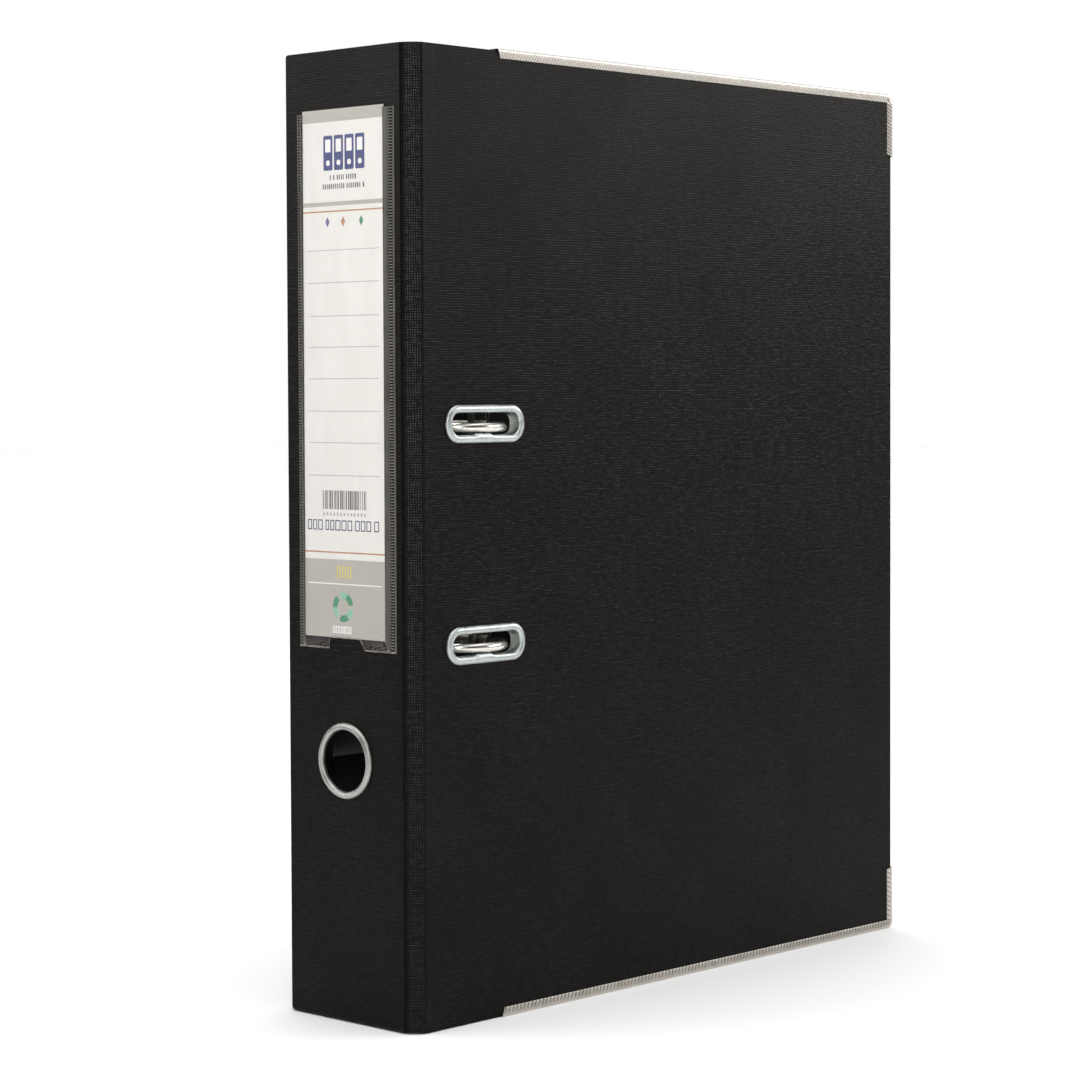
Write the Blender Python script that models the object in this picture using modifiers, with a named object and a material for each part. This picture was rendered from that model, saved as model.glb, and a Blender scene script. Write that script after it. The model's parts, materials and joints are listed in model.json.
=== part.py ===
"""Lever arch binder: a two-ring file of cloth-covered board, standing upright and closed.

Units are metres. +Z is up, +X faces out of the front cover and -Y out of the spine. The origin
lies under the middle of the closed file, on the surface that the metal edge strips stand on.
"""
import math

import bmesh
import bpy
from mathutils import Matrix

# The closed file
HEIGHT = 0.354  # over the metal edge strips
DEPTH = 0.284  # from the spine's face to the fore edge
THICKNESS = 0.0705  # from one cover's face to the other's
CORNER = 0.0053  # the soft corner that each hinge takes off the spine and the cover
HINGE_WIDTH = 0.0075  # width of the bending cloth between spine and cover
HINGE_DIP = 0.00015  # of the middle of that cloth, along each axis
HINGE_INSET = 0.0002  # of its edges under the faces of the spine and the cover
HINGE_CLOTH = 0.00028  # its thickness along each axis
GAP = 0.0003  # clearance between pieces that touch

# Covered board, from the outside in: cloth, board, then lining and turned-in cloth side by side
CLOTH = 0.0004
BOARD = 0.0018
LINING = 0.0004
PANEL = CLOTH + GAP + BOARD + GAP + LINING
TURN_IN = 0.014  # how far the cloth is folded over the panel's inner face
CORNER_RADIUS = 0.0025  # at the covers' fore-edge corners
SOFT_EDGE = 0.0006  # rounding of the cloth over the board's edges

# Metal edge strips
STRIP_WALL = 0.0004
STRIP_FACE = 0.0034  # height of the strip's leg on the cover's face
STRIP_START = 0.0438  # from the spine's face
STRIP_RETURN = 0.0263  # length round the corner, along the fore edge
EDGE_INSET = STRIP_WALL + GAP

# Rings, one above the other in the middle of the height
RING_PITCH = 0.080
RINGS_Z = 0.1766
RING_CENTRE_FROM_SPINE = 0.039
RING_RADIUS = 0.0165  # to the middle of the wire
WIRE_RADIUS = 0.00185
RING_PROUD = 0.002  # how far the rings stand out of the front cover
BEND_RADIUS = 0.004
CRANK_LENGTH = 0.010
CRANK_HALF_WIDTH = 0.0095
POST_RADIUS = 0.0022
POST_FOOT_RADIUS = 0.0040
POST_FOOT = 0.001
POST_CHAMFER = 0.0005
CRANK_BEND_RADIUS = 0.0028

# Slots in the front cover, with their metal liners
SLOTS_Z = 0.1779
SLOT_FROM_SPINE = 0.0369
LINER_RIM = (0.0404, 0.0136)
LINER_MOUTH = (0.0346, 0.0080)
LINER_WALL = 0.0006
LINER_PROUD = 0.0010
LINER_ROUNDING = 0.00035

# Base plate and its tunnels and ears
PLATE_LENGTH = 0.168
PLATE_WIDTH = 0.056
PLATE_THICKNESS = 0.001
PLATE_CORNER = 0.005
AXLE_LIFT = 0.0005  # between the plate and the wire lying in its tunnels
TUNNEL_CLEARANCE = 0.00045
TUNNEL_WALL = 0.0010
TUNNEL_SPANS = ((0.013, 0.019), (0.027, 0.033))  # from the middle, towards each end
EAR_THICKNESS = 0.0012
EAR_RADIUS = 0.005
RIVET_OFFSETS = (0.0215, 0.0755)  # from the plate's middle, along Y and Z
RIVET_SHANK = 0.0020
RIVET_HOLE = 0.0024
RIVET_HEAD = 0.0045
RIVET_CLINCH = 0.0035
RIVET_CLINCH_HEIGHT = 0.0008
RIVET_HEAD_HEIGHT = 0.0011
RIVET_DOME = ((0.0, 1.0), (0.55, 0.92), (0.88, 0.66))  # (radius, height) as parts of the head's

# Lever
LEVER_FROM_RING_CENTRE = 0.005
LEVER_LIFT = 0.00675  # pivot above the plate
LEVER_ELEVATION = math.radians(30)
LEVER_LENGTH = 0.042
LEVER_HALF_WIDTH = 0.007
LEVER_SHEET = 0.001
LEVER_TOP = 0.004
GRIP_START = 0.022
GRIP_LEAD = 0.001  # of the arm's taper and the socket before the grip
GRIP_HALF_WIDTH = 0.0085
GRIP_BELOW = 0.0018
GRIP_ABOVE = 0.0012  # over the arm's top
GRIP_CORNERS = (0.001, 0.0022, 0.0026, 0.0015)
GRIP_ROUNDING = 0.0008
GRIP_WALL = 0.002  # beyond the arm's end
ROLLER_BOSS = 0.0022  # of the arm, round the roller's pin
ARM_TAPER = (0.0002, 0.0012)  # lower edge of the arm at the grip's start and at its own end
PIN_RADIUS = 0.0015
PIN_HOLE = 0.0018
PIN_HEAD = 0.0026
PIN_HEAD_THICKNESS = 0.0009
ROLLER_RADIUS = 0.004
ROLLER_HALF_WIDTH = 0.0050
ROLLER_PIN_RADIUS = 0.0011
ROLLER_BORE = 0.0014

# Compressor bar, a channel that slides on the posts
BAR_X = 0.0125  # its web
BAR_HALF_LENGTH = 0.054
BAR_HALF_WIDTH = 0.0045
BAR_SHEET = 0.0008
BAR_FLANGE = 0.0030
BAR_CORNER = 0.0015
BAR_POST_HOLE = 0.0030
CATCH_HEIGHT = 0.00186  # from the bar's back
CATCH_PIVOT = 0.0105  # from the post, towards the bar's end
CATCH_REACH = 0.0060  # from the post, towards the bar's middle
CATCH_TAB = 0.0170  # from the post to the finger tab's end
CATCH_SHEET = 0.0006
CATCH_CORNER = 0.001
CATCH_PIN = 0.0006
CATCH_PIN_HOLE = 0.0009

# Finger hole in the spine
FINGER_Z = 0.0957
FINGER_MOUTH = 0.01125
FINGER_WALL = 0.0006
FINGER_FLANGE = 0.0139
FINGER_PROUD = 0.0012
FINGER_HOLE = 0.0123
FINGER_LIP = 0.0006  # rounding of the mouth's edge
FINGER_CORNER = 0.0008  # rounding of the flange's edge

# Label pocket and card on the spine
POCKET_X = (-0.0238, 0.0273)
POCKET_Z = (0.1362, 0.3309)
POCKET_FILM = 0.0004
LEFT_WELD = 0.0022
RIGHT_WELD = 0.0036
NOTCH_BASE = (-0.0080, 0.0110)
NOTCH_TOP = (-0.0067, 0.0092)
NOTCH_Z = 0.1403
CARD = 0.0003
CARD_X = (-0.0202, 0.0224)
CARD_Z = (0.1405, 0.3318)

# Planes worked out from the above
X_FRONT = THICKNESS / 2
Y_SPINE = -DEPTH / 2
Y_BOARD_START = Y_SPINE + CORNER
Y_BOARD_END = DEPTH / 2 - EDGE_INSET
Z_PANEL = (EDGE_INSET, HEIGHT - EDGE_INSET)
SPINE_HALF_WIDTH = THICKNESS / 2 - CORNER
HINGE_X = SPINE_HALF_WIDTH + HINGE_WIDTH / 2
HINGE_Y = Y_SPINE + CORNER - HINGE_WIDTH / 2
RING_Y = Y_SPINE + RING_CENTRE_FROM_SPINE
LEG_Y = RING_Y - RING_RADIUS
POST_Y = RING_Y + RING_RADIUS
RING_X = X_FRONT + RING_PROUD - WIRE_RADIUS - RING_RADIUS
PLATE_X = -X_FRONT + PANEL + GAP
PLATE_TOP = PLATE_X + PLATE_THICKNESS
AXLE_X = PLATE_TOP + AXLE_LIFT + WIRE_RADIUS
LEVER_X = PLATE_TOP + LEVER_LIFT
LEVER_Y = RING_Y + LEVER_FROM_RING_CENTRE
ROLLER_X = AXLE_X + WIRE_RADIUS + GAP + ROLLER_RADIUS
ROLLER_Y = LEG_Y + CRANK_LENGTH
RING_ZS = {"upper": RINGS_Z + RING_PITCH / 2, "lower": RINGS_Z - RING_PITCH / 2}
SLOT_ZS = {"upper": SLOTS_Z + RING_PITCH / 2, "lower": SLOTS_Z - RING_PITCH / 2}

# Colour, roughness and metallic value of each finish
FINISHES = {
    "bookcloth": ((0.016, 0.015, 0.015), 0.75, 0.0),
    "greyboard": ((0.30, 0.28, 0.25), 0.90, 0.0),
    "lining_paper": ((0.030, 0.030, 0.032), 0.80, 0.0),
    "nickel": ((0.80, 0.77, 0.71), 0.20, 1.0),
    "zinc": ((0.66, 0.70, 0.69), 0.38, 1.0),
    "strip_metal": ((0.80, 0.78, 0.72), 0.35, 1.0),
    "clear_film": ((0.75, 0.75, 0.74), 0.15, 0.0),
    "label_card": ((0.85, 0.84, 0.81), 0.60, 0.0),
    "black_plastic": ((0.02, 0.02, 0.02), 0.45, 0.0),
}

# Turns a flat outline so that its local Z points along the named world axis
TURNS = {
    "X": Matrix(((0, 0, 1), (1, 0, 0), (0, 1, 0))).to_4x4(),
    "Y": Matrix(((1, 0, 0), (0, 0, -1), (0, 1, 0))).to_4x4(),
    "Z": Matrix.Identity(4),
}
ROUND_STEPS = 24
ARC_STEPS = 10
SHARP_ANGLE = math.radians(35)
WELD_DISTANCE = 1e-6


# ---------------------------------------------------------------- scene and materials


def clear_scene():
    """Remove the objects that the file opened with."""
    for thing in list(bpy.context.scene.objects):
        bpy.data.objects.remove(thing, do_unlink=True)


def new_collection(name):
    """Add a collection to the scene."""
    collection = bpy.data.collections.new(name)
    bpy.context.scene.collection.children.link(collection)
    return collection


def finish_material(name, finish):
    """Principled material of one piece, with the values of its finish."""
    colour, roughness, metallic = FINISHES[finish]
    material = bpy.data.materials.new(name)
    material.use_nodes = True
    shader = material.node_tree.nodes["Principled BSDF"]
    shader.inputs["Base Color"].default_value = (*colour, 1.0)
    shader.inputs["Roughness"].default_value = roughness
    shader.inputs["Metallic"].default_value = metallic
    material.diffuse_color = (*colour, 1.0)
    return material


# ---------------------------------------------------------------- placing


def joint_empty(name, matrix):
    """Empty on a joint's axis, for the pieces that move with it."""
    empty = bpy.data.objects.new(name, None)
    empty.empty_display_size = 0.01
    empty.matrix_world = matrix
    BINDER.objects.link(empty)
    return empty


def hang(piece, joint):
    """Parent a piece to a joint's empty without moving it."""
    piece.parent = joint
    piece.matrix_parent_inverse = joint.matrix_basis.inverted()


def add_piece(name, mesh, matrix, finish, joint):
    """Add a sub-part of the binder, riding on a joint's empty unless joint is None."""
    mesh.name = name
    mesh.shade_smooth()
    mesh.set_sharp_from_angle(angle=SHARP_ANGLE)
    mesh.materials.append(finish_material(name, finish))
    piece = bpy.data.objects.new(name, mesh)
    piece.matrix_world = matrix
    BINDER.objects.link(piece)
    if joint is not None:
        hang(piece, joint)
    return piece


def add_tool(name, mesh, matrix, joint=None):
    """Add a shape that only cuts other pieces or is fused to them."""
    tool = bpy.data.objects.new(name, mesh)
    tool.matrix_world = matrix
    tool.hide_render = True
    tool.display_type = "WIRE"
    CUTTERS.objects.link(tool)
    if joint is not None:
        hang(tool, joint)
    return tool


def combine(piece, operation, tools):
    """Cut the tools from a piece (DIFFERENCE) or fuse them to it (UNION)."""
    for tool in tools:
        step = piece.modifiers.new(tool.name, "BOOLEAN")
        step.operation = operation
        step.solver = "EXACT"
        step.object = tool


def round_edges(piece, width, segments=2):
    """Bevel a piece's sharp edges."""
    bevel = piece.modifiers.new("rounding", "BEVEL")
    bevel.width = width
    bevel.segments = segments
    bevel.limit_method = "ANGLE"
    bevel.angle_limit = SHARP_ANGLE


# ---------------------------------------------------------------- meshes and outlines


def box_mesh(low, high):
    """Box mesh between two corners, with the matrix that places it."""
    mesh = bpy.data.meshes.new("box")
    cube = bmesh.new()
    bmesh.ops.create_cube(cube, size=1.0)
    size = [top - bottom for bottom, top in zip(low, high)]
    bmesh.ops.scale(cube, vec=size, verts=cube.verts)
    cube.to_mesh(mesh)
    cube.free()
    centre = [(bottom + top) / 2 for bottom, top in zip(low, high)]
    return mesh, Matrix.Translation(centre)


def rod_mesh(radius, low, high, steps=ROUND_STEPS):
    """Cylinder mesh along Z, from low to high."""
    mesh = bpy.data.meshes.new("rod")
    rod = bmesh.new()
    middle = Matrix.Translation((0, 0, (low + high) / 2))
    bmesh.ops.create_cone(
        rod, cap_ends=True, segments=steps, radius1=radius, radius2=radius, depth=high - low, matrix=middle
    )
    rod.to_mesh(mesh)
    rod.free()
    return mesh


def curve_mesh(curve):
    """Closed mesh of a curve, with its caps welded on."""
    guide = bpy.data.objects.new("guide", curve)
    bpy.context.scene.collection.objects.link(guide)
    shape = guide.evaluated_get(bpy.context.evaluated_depsgraph_get())
    mesh = bpy.data.meshes.new_from_object(shape)
    bpy.data.objects.remove(guide, do_unlink=True)
    welded = bmesh.new()
    welded.from_mesh(mesh)
    bmesh.ops.remove_doubles(welded, verts=welded.verts, dist=WELD_DISTANCE)
    bmesh.ops.recalc_face_normals(welded, faces=welded.faces)
    welded.to_mesh(mesh)
    welded.free()
    mesh.materials.clear()
    return mesh


def poly_curve(points, cyclic):
    """Curve through points with straight stretches between them."""
    curve = bpy.data.curves.new("curve", "CURVE")
    spline = curve.splines.new("POLY")
    spline.points.add(len(points) - 1)
    for knot, point in zip(spline.points, points):
        knot.co = (*point, 1.0)
    spline.use_cyclic_u = cyclic
    return curve


def plate_mesh(outline, thickness):
    """Flat plate with the outline in its local XY plane, half its thickness to each side."""
    curve = poly_curve([(u, v, 0.0) for u, v in outline], cyclic=True)
    curve.dimensions = "2D"
    curve.fill_mode = "BOTH"
    curve.extrude = thickness / 2
    return curve_mesh(curve)


def plate(outline, normal, low, high, frame=None):
    """Plate mesh across one axis, between two planes on it, with the matrix that places it."""
    along = Matrix.Translation([(low + high) / 2 if axis == normal else 0.0 for axis in "XYZ"])
    matrix = along @ TURNS[normal]
    if frame is not None:
        matrix = frame @ matrix
    return plate_mesh(outline, high - low), matrix


def arc(centre, radius, start, end, steps=ARC_STEPS):
    """Points along an arc, with its angles in degrees."""
    points = []
    for step in range(steps + 1):
        angle = math.radians(start + (end - start) * step / steps)
        points.append((centre[0] + radius * math.cos(angle), centre[1] + radius * math.sin(angle)))
    return points


def circle(centre, radius, steps=ROUND_STEPS):
    """Outline of a circle."""
    return arc(centre, radius, 0, 360, steps)[:-1]


def obround(centre, size):
    """Outline of a slot with round ends, longer along its first axis."""
    radius = size[1] / 2
    half = size[0] / 2 - radius
    right = arc((centre[0] + half, centre[1]), radius, -90, 90)
    left = arc((centre[0] - half, centre[1]), radius, 90, 270)
    return right + left


def round_rectangle(low, high, radii, steps=5):
    """Rectangle with a radius at each corner: low-low, high-low, high-high, low-high."""
    spots = ((low[0], low[1]), (high[0], low[1]), (high[0], high[1]), (low[0], high[1]))
    inwards = ((1, 1), (-1, 1), (-1, -1), (1, -1))
    outline = []
    for turn, (spot, inward, radius) in enumerate(zip(spots, inwards, radii)):
        if radius == 0:
            outline.append(spot)
            continue
        centre = (spot[0] + inward[0] * radius, spot[1] + inward[1] * radius)
        outline += arc(centre, radius, 180 + 90 * turn, 270 + 90 * turn, steps)
    return outline


def turned(name, profile, closed, matrix, finish, joint, steps=ROUND_STEPS):
    """Piece turned about its local Z from a profile of (radius, height) points, top to bottom."""
    mesh = bpy.data.meshes.new(name)
    line = bmesh.new()
    knots = [line.verts.new((radius, 0.0, height)) for radius, height in profile]
    for first, second in zip(knots, knots[1:]):
        line.edges.new((first, second))
    if closed:
        line.edges.new((knots[-1], knots[0]))
    line.to_mesh(mesh)
    line.free()
    piece = add_piece(name, mesh, matrix, finish, joint)
    screw = piece.modifiers.new("turning", "SCREW")
    screw.steps = steps
    screw.render_steps = steps
    screw.use_merge_vertices = True
    screw.merge_threshold = WELD_DISTANCE
    return piece


# ---------------------------------------------------------------- covered board panels


def panel_layers(outer, inwards):
    """Planes between the layers of a panel, from its outer face inwards."""
    depths = (0.0, CLOTH, CLOTH + GAP, CLOTH + GAP + BOARD, PANEL - LINING, PANEL)
    return [outer + inwards * depth for depth in depths]


def inset(low, high, margin):
    """Corners of a rectangle drawn in by a margin."""
    return (low[0] + margin, low[1] + margin), (high[0] - margin, high[1] - margin)


def panel(name, normal, outer, inwards, low, high, radii, joint, holes):
    """Cloth shell, board and lining of one panel, with the holes that pass through all three."""
    face, under_cloth, board_out, board_in, turn_in, inner = panel_layers(outer, inwards)
    beyond = inner + inwards * PANEL

    def slab(first, second, margin):
        shrunk = [max(radius - margin, 0.0) for radius in radii]
        corners = inset(low, high, margin)
        return plate(round_rectangle(*corners, shrunk), normal, min(first, second), max(first, second))

    cloth = add_piece(name + "_cloth", *slab(face, inner, 0.0), "bookcloth", joint)
    round_edges(cloth, SOFT_EDGE)
    pocket = add_tool(name + "_board_pocket", *slab(under_cloth, turn_in, CLOTH), joint)
    window = add_tool(name + "_lining_window", *slab(board_in, beyond, TURN_IN), joint)
    board = add_piece(name + "_board", *slab(board_out, board_in, CLOTH + GAP), "greyboard", joint)
    lining = add_piece(name + "_lining", *slab(turn_in, inner, TURN_IN + GAP), "lining_paper", joint)
    combine(cloth, "DIFFERENCE", [pocket, window])
    for layer in (cloth, board, lining):
        combine(layer, "DIFFERENCE", holes)


def edge_strip(name, side, edge, joint):
    """Metal channel over a cover's top or bottom edge and round its fore-edge corner."""
    outside = 0.0 if edge == "bottom" else HEIGHT
    up = 1 if edge == "bottom" else -1
    start = Y_SPINE + STRIP_START
    fore = DEPTH / 2
    radius = CORNER_RADIUS + EDGE_INSET
    centre = (fore - radius, outside + up * radius)
    corner = arc(centre, radius, -90 * up, 0, 5)
    leg = outside + up * STRIP_FACE
    inner = fore - STRIP_FACE
    end = outside + up * STRIP_RETURN
    outline = [(start, outside)] + corner + [
        (fore, end),
        (inner, end - up * STRIP_FACE / 3),
        (inner, leg),
        (start + STRIP_FACE / 2, leg),
    ]
    faces = sorted((side * (X_FRONT + EDGE_INSET), side * (X_FRONT - PANEL - EDGE_INSET)))
    strip = add_piece(name, *plate(outline, "X", *faces), "strip_metal", joint)
    low = (Y_BOARD_START, Z_PANEL[0] - GAP)
    high = (Y_BOARD_END + GAP, Z_PANEL[1] + GAP)
    grown = round_rectangle(low, high, (0, CORNER_RADIUS + GAP, CORNER_RADIUS + GAP, 0))
    channel = add_tool(
        name + "_channel", *plate(grown, "X", faces[0] + STRIP_WALL, faces[1] - STRIP_WALL), joint
    )
    combine(strip, "DIFFERENCE", [channel])


def hinge_cloth(name, side, joint):
    """Soft cloth corner between the spine and a cover, kept clear of the turning cover's edge."""
    start = (side * (SPINE_HALF_WIDTH + GAP), Y_SPINE + HINGE_INSET)
    crest = (side * (HINGE_X - HINGE_DIP), HINGE_Y + HINGE_DIP)
    end = (side * (X_FRONT - HINGE_INSET), Y_SPINE + CORNER - 2 * GAP)
    outer = [start, crest, end]
    inner = [(x - side * HINGE_CLOTH, y + HINGE_CLOTH) for x, y in reversed(outer)]
    add_piece(name, *plate(outer + inner, "Z", *Z_PANEL), "bookcloth", joint)


# ---------------------------------------------------------------- front cover


def slot_hole(level):
    """Cutter for a slot through the front cover, around the liner's barrel."""
    size = [side + 2 * (LINER_WALL + GAP) for side in LINER_MOUTH]
    outline = obround((Y_SPINE + SLOT_FROM_SPINE, SLOT_ZS[level]), size)
    return add_tool(
        "slot_hole_" + level, *plate(outline, "X", X_FRONT - 2 * PANEL, X_FRONT + PANEL), FRONT_JOINT
    )


def slot_liner(level):
    """Obround metal liner: rounded rim outside, barrel through the cover, ring clenched inside."""
    centre = (Y_SPINE + SLOT_FROM_SPINE, SLOT_ZS[level])
    barrel_size = [side + 2 * LINER_WALL for side in LINER_MOUTH]
    rim_span = (X_FRONT + GAP, X_FRONT + GAP + LINER_PROUD)
    back_span = (X_FRONT - PANEL - GAP - LINER_WALL, X_FRONT - PANEL - GAP)
    rim = plate(obround(centre, LINER_RIM), "X", *rim_span)
    liner = add_piece("slot_liner_" + level, *rim, "zinc", FRONT_JOINT)
    round_edges(liner, LINER_ROUNDING)
    barrel = add_tool(
        "slot_barrel_" + level,
        *plate(obround(centre, barrel_size), "X", back_span[0], rim_span[1] - LINER_WALL),
        FRONT_JOINT,
    )
    mouth = add_tool(
        "slot_mouth_" + level,
        *plate(obround(centre, LINER_MOUTH), "X", X_FRONT - 2 * PANEL, X_FRONT + PANEL),
        FRONT_JOINT,
    )
    combine(liner, "UNION", [barrel])
    combine(liner, "DIFFERENCE", [mouth])
    backing = add_piece(
        "slot_backing_" + level, *plate(obround(centre, LINER_RIM), "X", *back_span), "zinc", FRONT_JOINT
    )
    around = [side + 2 * GAP for side in barrel_size]
    clearance = add_tool(
        "slot_backing_hole_" + level,
        *plate(obround(centre, around), "X", back_span[0] - GAP, back_span[1] + GAP),
        FRONT_JOINT,
    )
    combine(backing, "DIFFERENCE", [clearance])


def front_cover():
    """Front panel with its slots, liners and edge strips."""
    radii = (0, CORNER_RADIUS, CORNER_RADIUS, 0)
    low = (Y_BOARD_START, Z_PANEL[0])
    high = (Y_BOARD_END, Z_PANEL[1])
    holes = [slot_hole(level) for level in SLOT_ZS]
    panel("front", "X", X_FRONT, -1, low, high, radii, FRONT_JOINT, holes)
    for level in SLOT_ZS:
        slot_liner(level)
    for edge in ("top", "bottom"):
        edge_strip("front_" + edge + "_edge_strip", 1, edge, FRONT_JOINT)


# ---------------------------------------------------------------- spine


def finger_ring():
    """Metal eyelet of the finger hole and the washer behind it."""
    outer = FINGER_MOUTH + FINGER_WALL
    top = GAP + FINGER_PROUD
    back = -PANEL - GAP - FINGER_WALL
    profile = [
        (FINGER_MOUTH + FINGER_LIP, top),
        (FINGER_FLANGE - FINGER_CORNER, top),
        (FINGER_FLANGE - FINGER_CORNER / 4, top - FINGER_CORNER / 3),
        (FINGER_FLANGE, top - FINGER_CORNER),
        (FINGER_FLANGE, GAP),
        (outer, GAP),
        (outer, back),
        (FINGER_MOUTH, back),
        (FINGER_MOUTH, top - FINGER_LIP),
        (FINGER_MOUTH + FINGER_LIP / 3, top - FINGER_LIP / 3),
    ]
    facing_out = Matrix.Translation((0, Y_SPINE, FINGER_Z)) @ TURNS["Y"]
    turned("finger_ring", profile, True, facing_out, "nickel", SPINE_JOINT, 2 * ROUND_STEPS)
    washer = [
        (FINGER_FLANGE, -PANEL - GAP),
        (FINGER_FLANGE, back),
        (outer + GAP, back),
        (outer + GAP, -PANEL - GAP),
    ]
    turned("finger_ring_washer", washer, True, facing_out, "nickel", SPINE_JOINT, 2 * ROUND_STEPS)


def label_pocket():
    """Clear film pocket welded at both sides and at two bottom tabs, open at the top."""
    left, right = POCKET_X
    bottom, top = POCKET_Z
    outline = [
        (left, bottom),
        (NOTCH_BASE[0], bottom),
        (NOTCH_TOP[0], NOTCH_Z),
        (NOTCH_TOP[1], NOTCH_Z),
        (NOTCH_BASE[1], bottom),
        (right, bottom),
        (right, top),
        (left, top),
    ]
    welded_face = Y_SPINE - GAP
    film_inside = welded_face - CARD - 2 * GAP
    film = plate(outline, "Y", film_inside - POCKET_FILM, welded_face)
    pocket = add_piece("label_pocket", *film, "clear_film", SPINE_JOINT)
    low = (left + LEFT_WELD, film_inside, CARD_Z[0] - GAP)
    high = (right - RIGHT_WELD, Y_SPINE, HEIGHT)
    channel = add_tool("label_channel", *box_mesh(low, high), SPINE_JOINT)
    combine(pocket, "DIFFERENCE", [channel])


def label_card():
    """Card that slides up out of the pocket."""
    back = Y_SPINE - 2 * GAP
    low = (CARD_X[0], back - CARD, CARD_Z[0])
    high = (CARD_X[1], back, CARD_Z[1])
    add_piece("label_card", *box_mesh(low, high), "label_card", CARD_JOINT)


def spine():
    """Spine panel with its finger hole, label pocket and hinge cloths."""
    low = (-SPINE_HALF_WIDTH, Z_PANEL[0])
    high = (SPINE_HALF_WIDTH, Z_PANEL[1])
    hole = add_tool(
        "finger_hole",
        *plate(circle((0, FINGER_Z), FINGER_HOLE), "Y", Y_SPINE - PANEL, Y_SPINE + 2 * PANEL),
        SPINE_JOINT,
    )
    panel("spine", "Y", Y_SPINE, 1, low, high, (0, 0, 0, 0), SPINE_JOINT, [hole])
    hinge_cloth("front_hinge_cloth", 1, SPINE_JOINT)
    hinge_cloth("back_hinge_cloth", -1, SPINE_JOINT)
    finger_ring()
    label_pocket()
    label_card()


# ---------------------------------------------------------------- back cover and base plate


def rivet_spots():
    """Places of the four rivets, as (y, z)."""
    across, along = RIVET_OFFSETS
    return [(RING_Y + side * across, RINGS_Z + end * along) for side in (-1, 1) for end in (-1, 1)]


def rivet(name, spot):
    """Rivet through the back cover and the base plate, domed outside and clenched inside."""
    head = GAP + RIVET_HEAD_HEIGHT
    clinch = -(PLATE_TOP + X_FRONT + GAP)
    end = clinch - RIVET_CLINCH_HEIGHT
    profile = [(RIVET_HEAD * out, head * up) for out, up in RIVET_DOME]
    profile += [
        (RIVET_HEAD, GAP),
        (RIVET_SHANK, GAP),
        (RIVET_SHANK, clinch),
        (RIVET_CLINCH, clinch),
        (RIVET_CLINCH - RIVET_CLINCH_HEIGHT, end),
        (0.0, end),
    ]
    facing_out = Matrix.Translation((-X_FRONT, *spot)) @ Matrix.Rotation(math.radians(-90), 4, "Y")
    turned(name, profile, False, facing_out, "nickel", None)


def tunnel(index, low, high):
    """Loop of the base plate that the ring wire turns in."""
    inner = WIRE_RADIUS + TUNNEL_CLEARANCE
    outer = inner + TUNNEL_WALL
    root = PLATE_TOP - PLATE_THICKNESS / 2
    below = PLATE_X - PLATE_THICKNESS
    hood = [(root, LEG_Y - outer)] + arc((AXLE_X, LEG_Y), outer, -90, 90) + [(root, LEG_Y + outer)]
    bore = [(below, LEG_Y - inner)] + arc((AXLE_X, LEG_Y), inner, -90, 90) + [(below, LEG_Y + inner)]
    label = "tunnel_%d" % index
    loop = add_tool(label, *plate(hood, "Z", low, high))
    gap = add_tool(label + "_bore", *plate(bore, "Z", low - GAP, high + GAP))
    return loop, gap


def lever_ear(label, low, high):
    """Ear standing up from the base plate beside the lever."""
    root = PLATE_TOP - PLATE_THICKNESS / 2
    outline = [(root, LEVER_Y - EAR_RADIUS)]
    outline += arc((LEVER_X, LEVER_Y), EAR_RADIUS, -90, 90)
    outline.append((root, LEVER_Y + EAR_RADIUS))
    return add_tool(label, *plate(outline, "Z", low, high))


def base_plate():
    """Mechanism's steel plate with its wire tunnels, lever ears and rivet holes."""
    low = (RING_Y - PLATE_WIDTH / 2, RINGS_Z - PLATE_LENGTH / 2)
    high = (RING_Y + PLATE_WIDTH / 2, RINGS_Z + PLATE_LENGTH / 2)
    outline = round_rectangle(low, high, (PLATE_CORNER,) * 4)
    steel = add_piece("base_plate", *plate(outline, "X", PLATE_X, PLATE_TOP), "nickel", None)
    loops = []
    bores = []
    spans = [(end * near, end * far) for end in (-1, 1) for near, far in TUNNEL_SPANS]
    for index, span in enumerate(spans, start=1):
        loop, bore = tunnel(index, RINGS_Z + min(span), RINGS_Z + max(span))
        loops.append(loop)
        bores.append(bore)
    near = LEVER_HALF_WIDTH + 2 * GAP
    far = near + EAR_THICKNESS
    ears = [
        lever_ear("lever_ear_upper", RINGS_Z + near, RINGS_Z + far),
        lever_ear("lever_ear_lower", RINGS_Z - far, RINGS_Z - near),
    ]
    pin_hole = add_tool(
        "lever_pin_hole",
        *plate(circle((LEVER_X, LEVER_Y), PIN_HOLE), "Z", RINGS_Z - 2 * far, RINGS_Z + 2 * far),
    )
    combine(steel, "UNION", loops + ears)
    combine(steel, "DIFFERENCE", bores + [pin_hole])
    return steel


def post(level):
    """Fixed post that the ring closes onto, with its foot on the base plate."""
    foot = PLATE_TOP + GAP
    top = RING_X - GAP
    profile = [
        (0.0, top - foot),
        (POST_RADIUS - POST_CHAMFER, top - foot),
        (POST_RADIUS, top - foot - POST_CHAMFER),
        (POST_RADIUS, POST_FOOT),
        (POST_FOOT_RADIUS, POST_FOOT - POST_CHAMFER),
        (POST_FOOT_RADIUS, 0.0),
        (0.0, 0.0),
    ]
    matrix = Matrix.Translation((foot, POST_Y, RING_ZS[level])) @ Matrix.Rotation(math.radians(90), 4, "Y")
    turned("post_" + level, profile, False, matrix, "nickel", None)


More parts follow.
